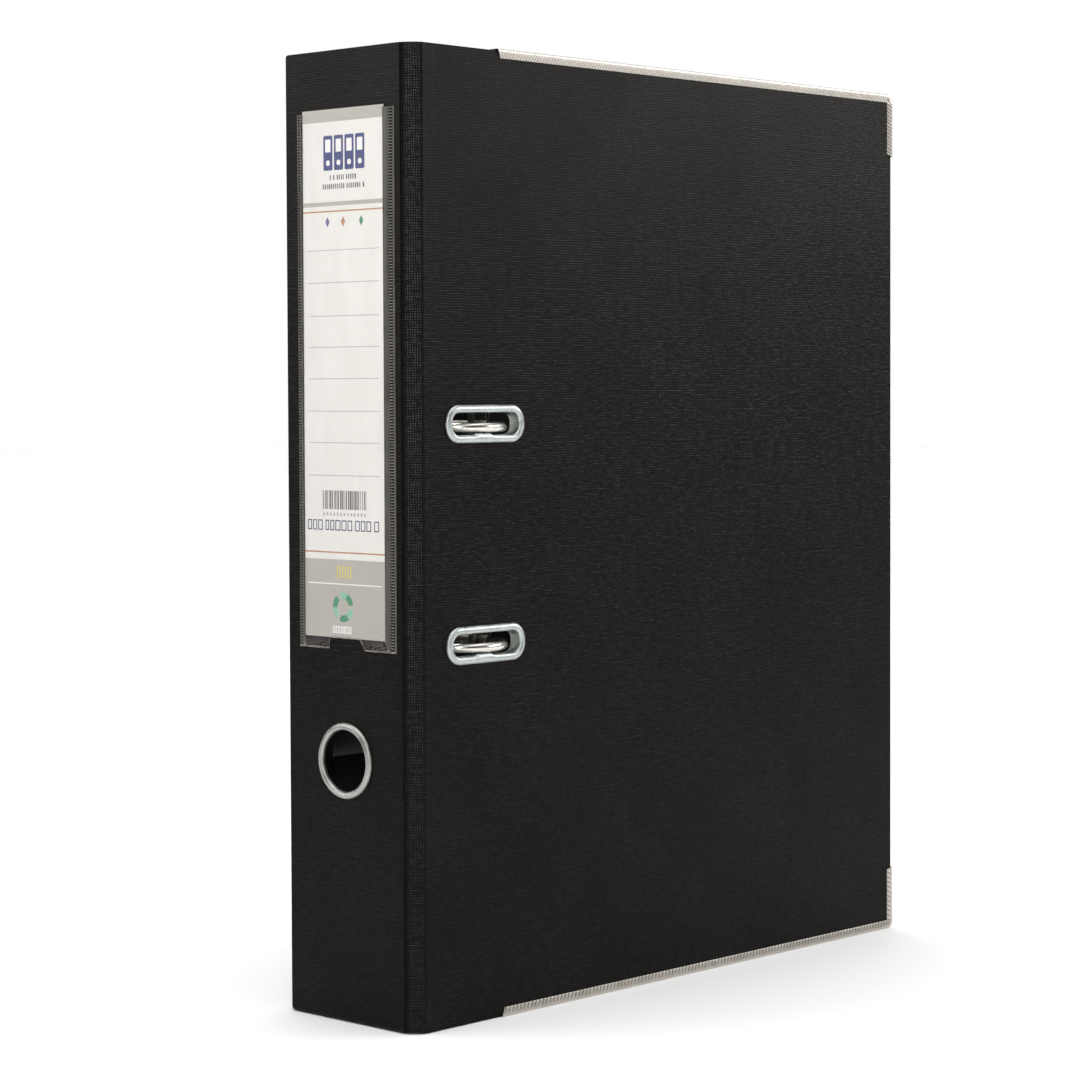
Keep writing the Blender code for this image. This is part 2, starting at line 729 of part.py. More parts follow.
def back_cover():
    """Back panel, its edge strips, the base plate, the posts and the rivets."""
    radii = (0, CORNER_RADIUS, CORNER_RADIUS, 0)
    low = (Y_BOARD_START, Z_PANEL[0])
    high = (Y_BOARD_END, Z_PANEL[1])
    holes = [
        add_tool(
            "rivet_hole_%d" % index,
            *plate(circle(spot, RIVET_HOLE), "X", -X_FRONT - PANEL, PLATE_TOP + PLATE_THICKNESS),
        )
        for index, spot in enumerate(rivet_spots(), start=1)
    ]
    panel("back", "X", -X_FRONT, 1, low, high, radii, None, holes)
    for edge in ("top", "bottom"):
        edge_strip("back_" + edge + "_edge_strip", -1, edge, None)
    steel = base_plate()
    combine(steel, "DIFFERENCE", holes)
    for level in RING_ZS:
        post(level)
    for index, spot in enumerate(rivet_spots(), start=1):
        rivet("rivet_%d" % index, spot)


# ---------------------------------------------------------------- rings


def bend(corner, before, after, radius=BEND_RADIUS, steps=4):
    """Points of a round bend at a corner, from the direction before to the direction after."""
    points = []
    for step in range(steps + 1):
        angle = math.pi / 2 * step / steps
        back = radius * (1 - math.sin(angle))
        forth = radius * (1 - math.cos(angle))
        points.append([spot - back * into + forth * out for spot, into, out in zip(corner, before, after)])
    return points


def half_ring_route():
    """Middle line of the wire from one ring's tip to the middle of the crank, for z above the middle."""
    reach = RING_PITCH / 2
    down, across, back = (-1, 0, 0), (0, 0, -1), (0, 1, 0)
    crank_y = LEG_Y + CRANK_LENGTH
    route = [(RING_X + u, RING_Y + v, reach) for v, u in arc((0, 0), RING_RADIUS, 0, 180, 20)]
    route += bend((AXLE_X, LEG_Y, reach), down, across)
    route += bend((AXLE_X, LEG_Y, CRANK_HALF_WIDTH), across, back, CRANK_BEND_RADIUS)
    route += bend((AXLE_X, crank_y, CRANK_HALF_WIDTH), back, across, CRANK_BEND_RADIUS)
    return route


def arch_wire():
    """Both rings, their legs, the axle and its crank, bent from one wire."""
    half = half_ring_route()
    other = [(x, y, -z) for x, y, z in reversed(half)]
    points = [(x, y, RINGS_Z + z) for x, y, z in half + other]
    curve = poly_curve(points, cyclic=False)
    curve.dimensions = "3D"
    curve.bevel_depth = WIRE_RADIUS
    curve.bevel_resolution = 4
    curve.use_fill_caps = True
    add_piece("arch_wire", curve_mesh(curve), Matrix.Identity(4), "nickel", ARCH_JOINT)


# ---------------------------------------------------------------- lever


def lever_frame():
    """Local frame of the closed lever: X along the arm, Y out of its top, Z up the file."""
    lean = Matrix.Rotation(LEVER_ELEVATION - math.pi / 2, 4, "Z")
    return Matrix.Translation((LEVER_X, LEVER_Y, RINGS_Z)) @ lean


def roller_place():
    """Roller's centre in the lever's frame, resting on the crank."""
    local = lever_frame().inverted() @ Matrix.Translation((ROLLER_X, ROLLER_Y, RINGS_Z))
    return local.translation.x, local.translation.y


def lever_outline():
    """Side view of the lever arm: round at the pivot, deep at the roller, slim towards the grip."""
    roller_x, roller_y = roller_place()
    boss = ROLLER_PIN_RADIUS + ROLLER_BOSS
    end = LEVER_LENGTH - GRIP_WALL
    return (
        [(end, LEVER_TOP), (0.0, LEVER_TOP)]
        + arc((0.0, 0.0), LEVER_TOP, 90, 270)[1:]
        + arc((roller_x, roller_y), boss, 240, 330, 6)
        + [(GRIP_START - GRIP_LEAD, ARM_TAPER[0]), (end, ARM_TAPER[1])]
    )


def lever():
    """Pressed steel lever arm with its pins, plastic grip and roller."""
    frame = lever_frame()
    half = LEVER_HALF_WIDTH
    roller = roller_place()
    arm = add_piece("lever_arm", *plate(lever_outline(), "Z", -half, half, frame), "nickel", LEVER_JOINT)
    inside = half - LEVER_SHEET
    hollow_low = (-2 * LEVER_TOP, -4 * LEVER_TOP, -inside)
    hollow_high = (LEVER_LENGTH, LEVER_TOP - LEVER_SHEET, inside)
    mesh, matrix = box_mesh(hollow_low, hollow_high)
    tools = [add_tool("lever_hollow", mesh, frame @ matrix, LEVER_JOINT)]
    for label, centre, radius in (("lever_bore", (0, 0), PIN_HOLE), ("roller_bore", roller, ROLLER_BORE)):
        bore = plate(circle(centre, radius), "Z", -2 * half, 2 * half, frame)
        tools.append(add_tool(label, *bore, LEVER_JOINT))
    combine(arm, "DIFFERENCE", tools)
    lever_grip(frame)
    pins(frame, roller)


def lever_grip(frame):
    """Plastic grip moulded round the end of the lever arm."""
    top = LEVER_TOP + GRIP_ABOVE
    outline = round_rectangle((GRIP_START, -GRIP_BELOW), (LEVER_LENGTH, top), GRIP_CORNERS)
    span = (-GRIP_HALF_WIDTH, GRIP_HALF_WIDTH)
    grip = add_piece("lever_grip", *plate(outline, "Z", *span, frame), "black_plastic", LEVER_JOINT)
    round_edges(grip, GRIP_ROUNDING)
    low = (GRIP_START - GRIP_LEAD, -GAP, -LEVER_HALF_WIDTH - GAP)
    high = (LEVER_LENGTH - GRIP_WALL + GAP, LEVER_TOP + GAP, LEVER_HALF_WIDTH + GAP)
    mesh, matrix = box_mesh(low, high)
    socket = add_tool("grip_socket", mesh, frame @ matrix, LEVER_JOINT)
    combine(grip, "DIFFERENCE", [socket])


def pins(frame, roller):
    """Pivot pin with its heads, roller pin and roller."""
    outside = LEVER_HALF_WIDTH + 2 * GAP + EAR_THICKNESS + GAP
    head = outside + PIN_HEAD_THICKNESS
    profile = [
        (0.0, head),
        (PIN_HEAD, head),
        (PIN_HEAD, outside),
        (PIN_RADIUS, outside),
        (PIN_RADIUS, -outside),
        (PIN_HEAD, -outside),
        (PIN_HEAD, -head),
        (0.0, -head),
    ]
    turned("lever_pivot_pin", profile, False, frame, "nickel", None)
    at_roller = frame @ Matrix.Translation((*roller, 0.0))
    length = LEVER_HALF_WIDTH
    pin = rod_mesh(ROLLER_PIN_RADIUS, -length, length)
    add_piece("roller_pin", pin, at_roller, "nickel", LEVER_JOINT)
    tyre = [
        (ROLLER_RADIUS, ROLLER_HALF_WIDTH),
        (ROLLER_RADIUS, -ROLLER_HALF_WIDTH),
        (ROLLER_BORE, -ROLLER_HALF_WIDTH),
        (ROLLER_BORE, ROLLER_HALF_WIDTH),
    ]
    turned("roller", tyre, True, at_roller, "nickel", ROLLER_JOINT)


# ---------------------------------------------------------------- compressor bar


def compressor_bar():
    """Channel-shaped bar that slides on the posts and holds the papers down."""
    half = BAR_HALF_LENGTH
    low = (POST_Y - BAR_HALF_WIDTH, RINGS_Z - half)
    high = (POST_Y + BAR_HALF_WIDTH, RINGS_Z + half)
    outline = round_rectangle(low, high, (BAR_CORNER,) * 4)
    bar = add_piece(
        "compressor_bar", *plate(outline, "X", BAR_X, BAR_X + BAR_FLANGE), "nickel", BAR_JOINT
    )
    inner = BAR_HALF_WIDTH - BAR_SHEET
    channel_low = (BAR_X + BAR_SHEET, POST_Y - inner, RINGS_Z - half - GAP)
    channel_high = (BAR_X + 2 * BAR_FLANGE, POST_Y + inner, RINGS_Z + half + GAP)
    tools = [add_tool("bar_channel", *box_mesh(channel_low, channel_high), BAR_JOINT)]
    for level, z in RING_ZS.items():
        hole = plate(circle((POST_Y, z), BAR_POST_HOLE), "X", BAR_X - BAR_SHEET, BAR_X + BAR_FLANGE)
        tools.append(add_tool("bar_hole_" + level, *hole, BAR_JOINT))
        bore = circle((catch_pivot_x(), catch_pivot_z(level)), CATCH_PIN_HOLE, 16)
        span = (POST_Y - 2 * BAR_HALF_WIDTH, POST_Y + 2 * BAR_HALF_WIDTH)
        tools.append(add_tool("catch_pin_hole_" + level, *plate(bore, "Y", *span), BAR_JOINT))
    combine(bar, "DIFFERENCE", tools)


def catch_pivot_x():
    """Height of the catches' pins, in the channel's flanges."""
    return BAR_X + CATCH_HEIGHT


def catch_pivot_z(level):
    """Place of a catch's pin, between its post and the bar's end."""
    return RING_ZS[level] + END[level] * CATCH_PIVOT


def compressor_catch(level):
    """Spring catch that grips a post, with a finger tab past the bar's end."""
    end = END[level]
    z = RING_ZS[level]
    x = catch_pivot_x()
    half = BAR_HALF_WIDTH - BAR_SHEET - GAP
    edges = sorted((z - end * CATCH_REACH, z + end * CATCH_TAB))
    outline = round_rectangle((POST_Y - half, edges[0]), (POST_Y + half, edges[1]), (CATCH_CORNER,) * 4)
    faces = (x - CATCH_SHEET / 2, x + CATCH_SHEET / 2)
    joint = CATCH_JOINTS[level]
    catch = add_piece("compressor_catch_" + level, *plate(outline, "X", *faces), "nickel", joint)
    eye = circle((POST_Y, z), BAR_POST_HOLE)
    hole = add_tool("catch_eye_" + level, *plate(eye, "X", x - CATCH_SHEET, x + CATCH_SHEET), joint)
    flank = BAR_HALF_WIDTH - GAP / 2
    pin_place = Matrix.Translation((x, POST_Y, catch_pivot_z(level))) @ TURNS["Y"]
    pin = add_tool("catch_pin_" + level, rod_mesh(CATCH_PIN, -flank, flank, 12), pin_place, joint)
    combine(catch, "DIFFERENCE", [hole])
    combine(catch, "UNION", [pin])


# ---------------------------------------------------------------- assembly

END = {"upper": 1, "lower": -1}

clear_scene()
BINDER = new_collection("lever_arch_binder")
CUTTERS = new_collection("cutters")

SPINE_JOINT = joint_empty("spine_hinge_axis", Matrix.Translation((-HINGE_X, HINGE_Y, HEIGHT / 2)))
FRONT_JOINT = joint_empty("front_cover_hinge_axis", Matrix.Translation((HINGE_X, HINGE_Y, HEIGHT / 2)))
CARD_JOINT = joint_empty("label_card_axis", Matrix.Translation((0, Y_SPINE, CARD_Z[0])))
ARCH_JOINT = joint_empty("arch_pivot_axis", Matrix.Translation((AXLE_X, LEG_Y, RINGS_Z)))
LEVER_JOINT = joint_empty("lever_pivot_axis", lever_frame())
ROLLER_JOINT = joint_empty("roller_axis", Matrix.Translation((ROLLER_X, ROLLER_Y, RINGS_Z)))
BAR_JOINT = joint_empty("compressor_axis", Matrix.Translation((BAR_X, POST_Y, RINGS_Z)))
CATCH_JOINTS = {
    level: joint_empty(
        "catch_axis_" + level, Matrix.Translation((catch_pivot_x(), POST_Y, catch_pivot_z(level)))
    )
    for level in RING_ZS
}

front_cover()
spine()
back_cover()
arch_wire()
lever()
compressor_bar()
for side_level in RING_ZS:
    compressor_catch(side_level)
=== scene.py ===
"""Looks of the lever arch binder: cloth, metal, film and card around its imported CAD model.

Units are metres, in the CAD model's frame: +Z is up, +X faces out of the front cover and -Y out
of the spine. Places come from the CAD nodes' boxes wherever a node has them.
"""
import json
import math
import random

import bmesh
import bpy
from mathutils import Matrix, Vector


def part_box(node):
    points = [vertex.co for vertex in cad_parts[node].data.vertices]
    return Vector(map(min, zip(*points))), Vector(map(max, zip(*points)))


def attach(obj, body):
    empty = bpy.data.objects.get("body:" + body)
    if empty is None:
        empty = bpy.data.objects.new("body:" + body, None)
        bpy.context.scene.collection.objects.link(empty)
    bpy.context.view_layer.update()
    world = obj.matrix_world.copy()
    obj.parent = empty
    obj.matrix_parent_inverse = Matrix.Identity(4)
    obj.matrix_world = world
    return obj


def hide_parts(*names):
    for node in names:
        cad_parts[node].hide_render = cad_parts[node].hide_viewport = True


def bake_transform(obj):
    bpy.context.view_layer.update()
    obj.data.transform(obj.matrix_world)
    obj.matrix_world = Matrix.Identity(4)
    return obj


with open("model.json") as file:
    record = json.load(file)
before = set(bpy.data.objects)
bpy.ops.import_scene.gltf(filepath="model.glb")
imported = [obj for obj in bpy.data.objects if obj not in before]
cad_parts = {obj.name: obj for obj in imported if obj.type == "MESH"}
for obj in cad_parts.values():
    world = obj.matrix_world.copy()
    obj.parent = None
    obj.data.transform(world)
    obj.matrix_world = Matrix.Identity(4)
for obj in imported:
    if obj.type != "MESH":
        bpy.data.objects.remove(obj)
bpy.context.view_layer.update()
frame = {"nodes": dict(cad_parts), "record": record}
NODES = frame["nodes"]
LEVELS = ("upper", "lower")
RIVETS = ["rivet_%d" % number for number in range(1, 5)]

# Mesh cleaning
SAME_PLACE = 1e-6
FLAT_ANGLE = 0.5  # degrees

# Camera, as a place, a direction in degrees and a focal length on a 36 mm sensor
CAMERA_PLACE = (0.7721, -0.8588, 0.2311)
CAMERA_YAW = -43.267
CAMERA_PITCH = -1.950
CAMERA_ROLL = -0.232
CAMERA_LENS = 96.83
CAMERA_SHIFT = -0.05  # upwards, in frame heights

# Studio
FLOOR_SIZE = 16.0
SKY_HORIZON = 0.05
SKY_ZENITH = 4.2
SKY_FALLOFF = 6.0  # how quickly the sky darkens from the zenith down
SOFTBOXES = {
    # place, aim, width, height, spread in degrees, power in watts
    "camera": ((0.74, -0.92, 0.60), (0.0, -0.02, 0.36), 0.4, 0.4, 180, 3.4),
    "cover": ((0.72, 0.98, 0.66), (0.03, 0.0, 0.38), 0.9, 0.3, 80, 1.5),
    "spine": ((-0.75, -0.84, 0.66), (0.0, -0.14, 0.40), 0.7, 0.3, 56, 0.66),
    "back": ((-1.20, 1.10, 1.20), (0.0, 0.0, 0.2), 1.4, 1.4, 180, 6.0),
}

# Bookcloth
THREAD_PITCH = 0.00048
ROW_PITCH = 0.00095  # between the thick threads
SLUB_LENGTH = 0.0038
WARP_SHARE = 0.66  # how strong the upright threads are beside the others
BAND_PITCH = 0.00090
CLOTH_DARK = (0.0005, 0.0005, 0.0005)
CLOTH_LIGHT = (0.0200, 0.0190, 0.0180)
CLOTH_SPECULAR = 0.075
CLOTH_TINT = (1.0, 0.93, 0.82, 1.0)
# Colour of the band's dots: the opened weave, painted bright as a highlight
BAND_DOTS_AND_GLINT = (0.0900, 0.0900, 0.0920)
# Width of the painted shade on the spine's cloth beside the hinge creases
CREASE_SHADE_WIDTH = 0.0030
CLOTH_ROUNDING = 0.0006

# Hinge bands
BAND_CLOTH = 0.00035
BAND_OVERLAP = 0.007
BAND_PROUD = 0.00008
CREASE_DEPTH = 0.0005

# Lining paper
LINING_OVERLAP = 0.0022
LINING_SHEET = 0.00012
LINING_CLOTH = 0.00014  # in the hinges
LINING_SHORT = 0.0009  # from the ends of the hinges
HOLE_REACH = 0.008
SLOT_MARGIN = 0.0012  # from a slot's mouth to the lining
RIVET_HOLE = 0.0025
FINGER_HOLE = 0.0123

# Metal edge strips
STRIP_WALL = 0.0004
STRIP_LEG = 0.0034
STRIP_CORNER = 0.0032
STRIP_ROUNDING = 0.0006
STRIP_LEAN = 0.00050
STRIP_LIP = 0.00066  # from the outer face to the inside of the leg's edge
RIB_PITCH = {"top": 0.0015, "bottom": 0.0020}
RIB_DEPTH = {"top": 0.00016, "bottom": 0.00022}
RIB_SLANT = {"top": 0.6, "bottom": -0.6}
STRIP_END = 0.0003  # from the CAD strip's end
ROWS_PER_RIB = 6
# Painted shade in the hollows between the edge strips' ribs
GROOVE_SHADE_COLOUR = (0.29, 0.25, 0.21)

# Slot liners and finger ring
MOUTH = (0.0346, 0.0080)
MOUTH_CORNER = 0.0036
LINER_RIM = 0.0029
LINER_WALL = 0.0006
LOCK_BUMP = 0.00065
BUMP_SPAN = (-0.0062, 0.0040)
BUMP_SLOPE = 0.0022
EYELET_MOUTH = 0.01125

# Rings and posts
WIRE_RADIUS = 0.00185
BEND_RADIUS = 0.004
CRANK_LENGTH = 0.010
CRANK_HALF_WIDTH = 0.0095

# Label pocket and card
FILM = 0.00012
FILM_LOW = 0.00012
FILM_HIGH = 0.00118
LEFT_WELD = 0.0022
RIGHT_WELD = 0.0036
BOTTOM_WELD = 0.0012
LEFT_LADDER = (0.0004, 0.0014)  # from the film's edge inwards
RIGHT_LADDER = (0.0010, 0.0030)
LADDER_PITCH = 0.00107
LADDER_WINDOW = 0.6  # part of the pitch where the film is pressed onto the cloth
LADDER_ROWS = 5
LADDER_HEIGHT = 0.00028
HEM_HEIGHT = 0.0006
HEM_RISE = 0.00022
HEM_SLOPE = 0.0005
NOTCH_BASE = (-0.0080, 0.0110)
NOTCH_TOP = (-0.0067, 0.0092)
NOTCH_Z = 0.1403
INK = 0.00003
WRITING_LINES = (0.28093, 0.26923, 0.25716, 0.24587, 0.23442, 0.22268, 0.21122, 0.19935)
DIAMOND = ((-0.0011, 0.0), (0.0, -0.0019), (0.0011, 0.0), (0.0, 0.0019))
SMALL_PRINT = ((-0.0067, 0.0091, 0.3062, 7), (-0.0104, 0.0120, 0.3030, 8))  # from, to, height, seed
SMALL_PRINT_HEIGHT = 0.0018
SMALL_LETTERS = (0.00045, 0.00070, 0.00055, 0.0013)  # least width, most, gap, gap between words
TITLE_LETTERS = (0.0019, 0.0027, 0.0006, 0.0016)
RECYCLE_LETTERS = (0.0011, 0.0015, 0.00035, 0.00035)
WORD_ENDS = 0.18  # share of letters that end a word
OVERPRINTS = ("white", "yellow", "green", "pale_green")  # inks that lie on others


# ---- mesh helpers


def add_object(name, data):
    """Object of a mesh, camera or light, linked to the scene."""
    thing = bpy.data.objects.new(name, data)
    bpy.context.scene.collection.objects.link(thing)
    return thing


def clean(mesh, weld=False, join_flat=False):
    """Turn a mesh's faces outwards and, if asked, weld its doubled points and join its flat faces."""
    work = bmesh.new()
    work.from_mesh(mesh)
    if weld:
        bmesh.ops.remove_doubles(work, verts=work.verts, dist=SAME_PLACE)
    if join_flat:
        limit = math.radians(FLAT_ANGLE)
        bmesh.ops.dissolve_limit(work, angle_limit=limit, verts=work.verts, edges=work.edges)
    bmesh.ops.recalc_face_normals(work, faces=work.faces)
    work.to_mesh(mesh)
    work.free()


def piece_from(name, verts, faces, materials, smooth_angle=40.0):
    """Object of a mesh in the CAD frame, shaded smooth below an angle."""
    mesh = bpy.data.meshes.new(name)
    mesh.from_pydata([tuple(v) for v in verts], [], faces)
    mesh.update()
    clean(mesh)
    for material in materials:
        mesh.materials.append(material)
    mesh.shade_smooth()
    mesh.set_sharp_from_angle(angle=math.radians(smooth_angle))
    return add_object(name, mesh)


def ring_faces(rows, columns, closed_loop=True, closed_path=False):
    """Quads between successive rows of a swept loop, with row-major vertex numbers."""
    faces = []
    for row in range(rows if closed_path else rows - 1):
        here = row * columns
        following = (row + 1) % rows * columns
        for column in range(columns if closed_loop else columns - 1):
            beside = (column + 1) % columns
            faces.append((here + column, here + beside, following + beside, following + column))
    return faces


def solid_faces(rows, columns, closed_path=False):
    """Faces of a solid through successive closed loops, with flat ends unless the path closes."""
    faces = ring_faces(rows, columns, closed_path=closed_path)
    if not closed_path:
        last = (rows - 1) * columns
        faces += [tuple(reversed(range(columns))), tuple(range(last, last + columns))]
    return faces


def swept(name, rows, materials, closed_path=False, smooth_angle=40.0):
    """Solid through successive closed loops of points."""
    verts = [point for row in rows for point in row]
    faces = solid_faces(len(rows), len(rows[0]), closed_path)
    return piece_from(name, verts, faces, materials, smooth_angle)


def ease(value):
    """Smooth step from 0 to 1."""
    value = min(max(value, 0.0), 1.0)
    return value * value * (3 - 2 * value)


def ripple(turns):
    """Wave from 0 to 1 and back in each turn."""
    return 0.5 - 0.5 * math.cos(2 * math.pi * turns)


def evenly(start, end, steps):
    """Values from start to end in even steps."""
    return [start + (end - start) * step / steps for step in range(steps + 1)]


def catmull_rom(before, start, end, after, part):
    """Value part of the way from start to end on a smooth curve through all four."""
    square = (2 * before - 5 * start + 4 * end - after) * part**2
    cube = (3 * start - before - 3 * end + after) * part**3
    return 0.5 * (2 * start + (end - before) * part + square + cube)


def spline(points, steps):
    """Points on a smooth curve through the given ones."""
    padded = [points[0], *points, points[-1]]
    curve = []
    for four in zip(padded, padded[1:], padded[2:], padded[3:]):
        for step in range(steps):
            curve.append(tuple(catmull_rom(*values, step / steps) for values in zip(*four)))
    curve.append(tuple(points[-1]))
    return curve


def arc(centre, radius, start, end, steps):
    """Points along an arc, with its angles in degrees."""
    points = []
    for angle in evenly(math.radians(start), math.radians(end), steps):
        points.append((centre[0] + radius * math.cos(angle), centre[1] + radius * math.sin(angle)))
    return points


def corners(across, along):
    """Corners about (0, 0), anticlockwise from the top right, each with its first angle."""
    return ((across, along, 0), (-across, along, 90), (-across, -along, 180), (across, -along, 270))


def rounded_outline(half_width, half_height, radius, steps=10):
    """Rectangle about (0, 0) with round corners, from the middle of its right side upwards."""
    outline = []
    for x, y, start in corners(half_width - radius, half_height - radius):
        outline += arc((x, y), radius, start, start + 90, steps)
    return outline


def block(name, low, high, material):
    """Six-sided piece between two corners."""
    verts = [(x, y, z) for x in (low[0], high[0]) for y in (low[1], high[1]) for z in (low[2], high[2])]
    faces = [(0, 1, 3, 2), (4, 6, 7, 5), (0, 4, 5, 1), (2, 3, 7, 6), (0, 2, 6, 4), (1, 5, 7, 3)]
    return piece_from(name, verts, faces, [material])


def lathe(name, profile, matrix, material, closed=False, steps=72):
    """Piece turned about its local Z from (radius, height) points."""
    verts = []
    for step in range(steps):
        turn = matrix @ Matrix.Rotation(2 * math.pi * step / steps, 4, "Z")
        verts += [turn @ Vector((radius, 0.0, height)) for radius, height in profile]
    faces = ring_faces(steps, len(profile), closed_loop=closed, closed_path=True)
    piece = piece_from(name, verts, faces, [material], 35.0)
    clean(piece.data, weld=True)
    return piece


def tube(name, route, radii, material, sides=28):
    """Round wire along a route, with its section carried along without twisting."""
    circle = arc((0.0, 0.0), 1.0, 0, 360, sides)[:-1]
    rows = []
    across = (route[1] - route[0]).orthogonal()
    for index, point in enumerate(route):
        before = route[max(index - 1, 0)]
        after = route[min(index + 1, len(route) - 1)]
        forward = (after - before).normalized()
        across = (across - forward * across.dot(forward)).normalized()
        beside = forward.cross(across)
        rows.append([point + radii[index] * (across * u + beside * v) for u, v in circle])
    return swept(name, rows, [material], smooth_angle=50.0)


def apply_modifiers(piece):
    """Keep a piece's evaluated mesh as its own."""
    graph = bpy.context.evaluated_depsgraph_get()
    piece.data = bpy.data.meshes.new_from_object(piece.evaluated_get(graph))
    piece.modifiers.clear()


def cut(piece, tools):
    """Cut solids out of a piece and remove them."""
    for tool in tools:
        step = piece.modifiers.new("cut", "BOOLEAN")
        step.operation = "DIFFERENCE"
        step.solver = "EXACT"
        step.object = tool
    if tools:
        apply_modifiers(piece)
    for tool in tools:
        bpy.data.objects.remove(tool, do_unlink=True)


def soften(piece, width, segments=2, angle=35, harden=False):
    """Round a piece's edges that are sharper than an angle."""
    bevel = piece.modifiers.new("soft_edges", "BEVEL")
    bevel.width = width
    bevel.segments = segments
    bevel.limit_method = "ANGLE"
    bevel.angle_limit = math.radians(angle)
    bevel.harden_normals = harden
    apply_modifiers(piece)


def repaint(piece, index, where):
    """Give another of its materials to the faces of a piece whose middle is where asked."""
    for polygon in piece.data.polygons:
        if where(polygon.center):
            polygon.material_index = index


def map_points(piece, name, places):
    """UV map of a piece from a place for each of its points."""
    layer = piece.data.uv_layers.new(name=name)
    for loop in piece.data.loops:
        layer.data[loop.index].uv = places[loop.vertex_index]


# ---- CAD nodes


def box_of(node):
    """A CAD node's low corner, high corner and middle."""
    low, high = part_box(node)
    return low, high, (low + high) / 2


def body_of_node(node):
    """Body that a CAD node rides on."""
    for body, members in frame["record"]["behaviour"]["bodies"].items():
        if node in members:
            return body
    raise KeyError(node)


def seat(piece, body, slot, *nodes):
    """Ride a piece on a body, in place of the CAD nodes that it stands for."""
    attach(piece, body)
    if nodes:
        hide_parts(*nodes)
    return piece


def refined(node, material, slot, edge, segments=3):
    """Copy of a CAD node with its faces cleaned up and its edges softly rounded."""
    mesh = NODES[node].data.copy()
    clean(mesh, weld=True, join_flat=True)
    mesh.materials.clear()
    mesh.materials.append(material)
    for polygon in mesh.polygons:
        polygon.material_index = 0
    mesh.shade_smooth()
    piece = add_object(node + "_finish", mesh)
    soften(piece, edge, segments, 32, harden=True)
    piece.data.set_sharp_from_angle(angle=math.radians(40))
    return seat(piece, body_of_node(node), slot, node)


# ---- shader helpers


class Nodes:
    """A node tree, with short names for the nodes that the finishes are built from."""

    def __init__(self, tree):
        self.tree = tree

    def node(self, kind, inputs=None, **settings):
        """Add a node with its settings, and feed its inputs by name or number."""
        node = self.tree.nodes.new(kind)
        for name, value in settings.items():
            setattr(node, name, value)
        for name, value in (inputs or {}).items():
            self.feed(node.inputs[name], value)
        return node

    def feed(self, socket, value):
        """Link an output to a socket, or set the socket to a number, colour or vector."""
        if isinstance(value, bpy.types.NodeSocket):
            self.tree.links.new(value, socket)
        else:
            socket.default_value = value

    def calc(self, operation, *values):
        """Result of a math node."""
        return self.node("ShaderNodeMath", dict(enumerate(values)), operation=operation).outputs[0]

    def times(self, first, *others):
        """Product of values."""
        for other in others:
            first = self.calc("MULTIPLY", first, other)
        return first

    def split(self, vector):
        """X, Y and Z of a vector."""
        return self.node("ShaderNodeSeparateXYZ", {0: vector}).outputs

    def spread(self, value, from_low, from_high, low=0.0, high=1.0):
        """Value moved from one range to another, kept inside it."""
        values = (value, from_low, from_high, low, high)
        return self.node("ShaderNodeMapRange", dict(enumerate(values))).outputs[0]


class Shader(Nodes):
    """A material's node tree and its surface."""

    SOCKETS = {
        "colour": "Base Color",
        "roughness": "Roughness",
        "metallic": "Metallic",
        "specular": "Specular IOR Level",
        "tint": "Specular Tint",
        "alpha": "Alpha",
        "normal": "Normal",
    }

    def __init__(self, name, colour, roughness, metallic=0.0, specular=0.5):
        self.material = bpy.data.materials.new(name)
        self.material.use_nodes = True
        self.material.diffuse_color = (*colour, 1.0)
        super().__init__(self.material.node_tree)
        self.surface = self.tree.nodes["Principled BSDF"]
        self.paint(colour=(*colour, 1.0), roughness=roughness, metallic=metallic, specular=specular)

    def paint(self, **values):
        """Feed the surface's sockets."""
        for name, value in values.items():
            self.feed(self.surface.inputs[self.SOCKETS[name]], value)

    def place(self):
        """The point's place in the object, which is the CAD frame at rest."""
        return self.node("ShaderNodeTexCoord").outputs["Object"]

    def uv_map(self, name):
        """The point's place in a UV map."""
        return self.node("ShaderNodeUVMap", uv_map=name).outputs[0]

    def stretch(self, vector, factors):
        """Vector times a factor for each axis."""
        return self.node("ShaderNodeVectorMath", {0: vector, 1: factors}, operation="MULTIPLY").outputs[0]

    def noise(self, vector, scale, detail=2.0, roughness=0.5):
        """Noise from 0 to 1."""
        inputs = {"Vector": vector, "Scale": scale, "Detail": detail, "Roughness": roughness}
        return self.node("ShaderNodeTexNoise", inputs).outputs["Fac"]

    def blend(self, factor, first, second):
        """Colour between two others."""
        node = self.node("ShaderNodeMix", {"Factor": factor}, data_type="RGBA")
        colours = [socket for socket in node.inputs if socket.type == "RGBA"]
        for socket, value in zip(colours, (first, second)):
            self.feed(socket, value if isinstance(value, bpy.types.NodeSocket) else (*value, 1.0))
        return next(socket for socket in node.outputs if socket.type == "RGBA")

    def bump(self, height, distance, strength):
        """Relief on the surface from a height of 0 to 1."""
        inputs = {"Strength": strength, "Distance": distance, "Height": height}
        self.paint(normal=self.node("ShaderNodeBump", inputs).outputs[0])


def scaled(colour, factor):
    """Colour made darker or lighter by a factor."""
    return tuple(part * factor for part in colour)


# ---- materials


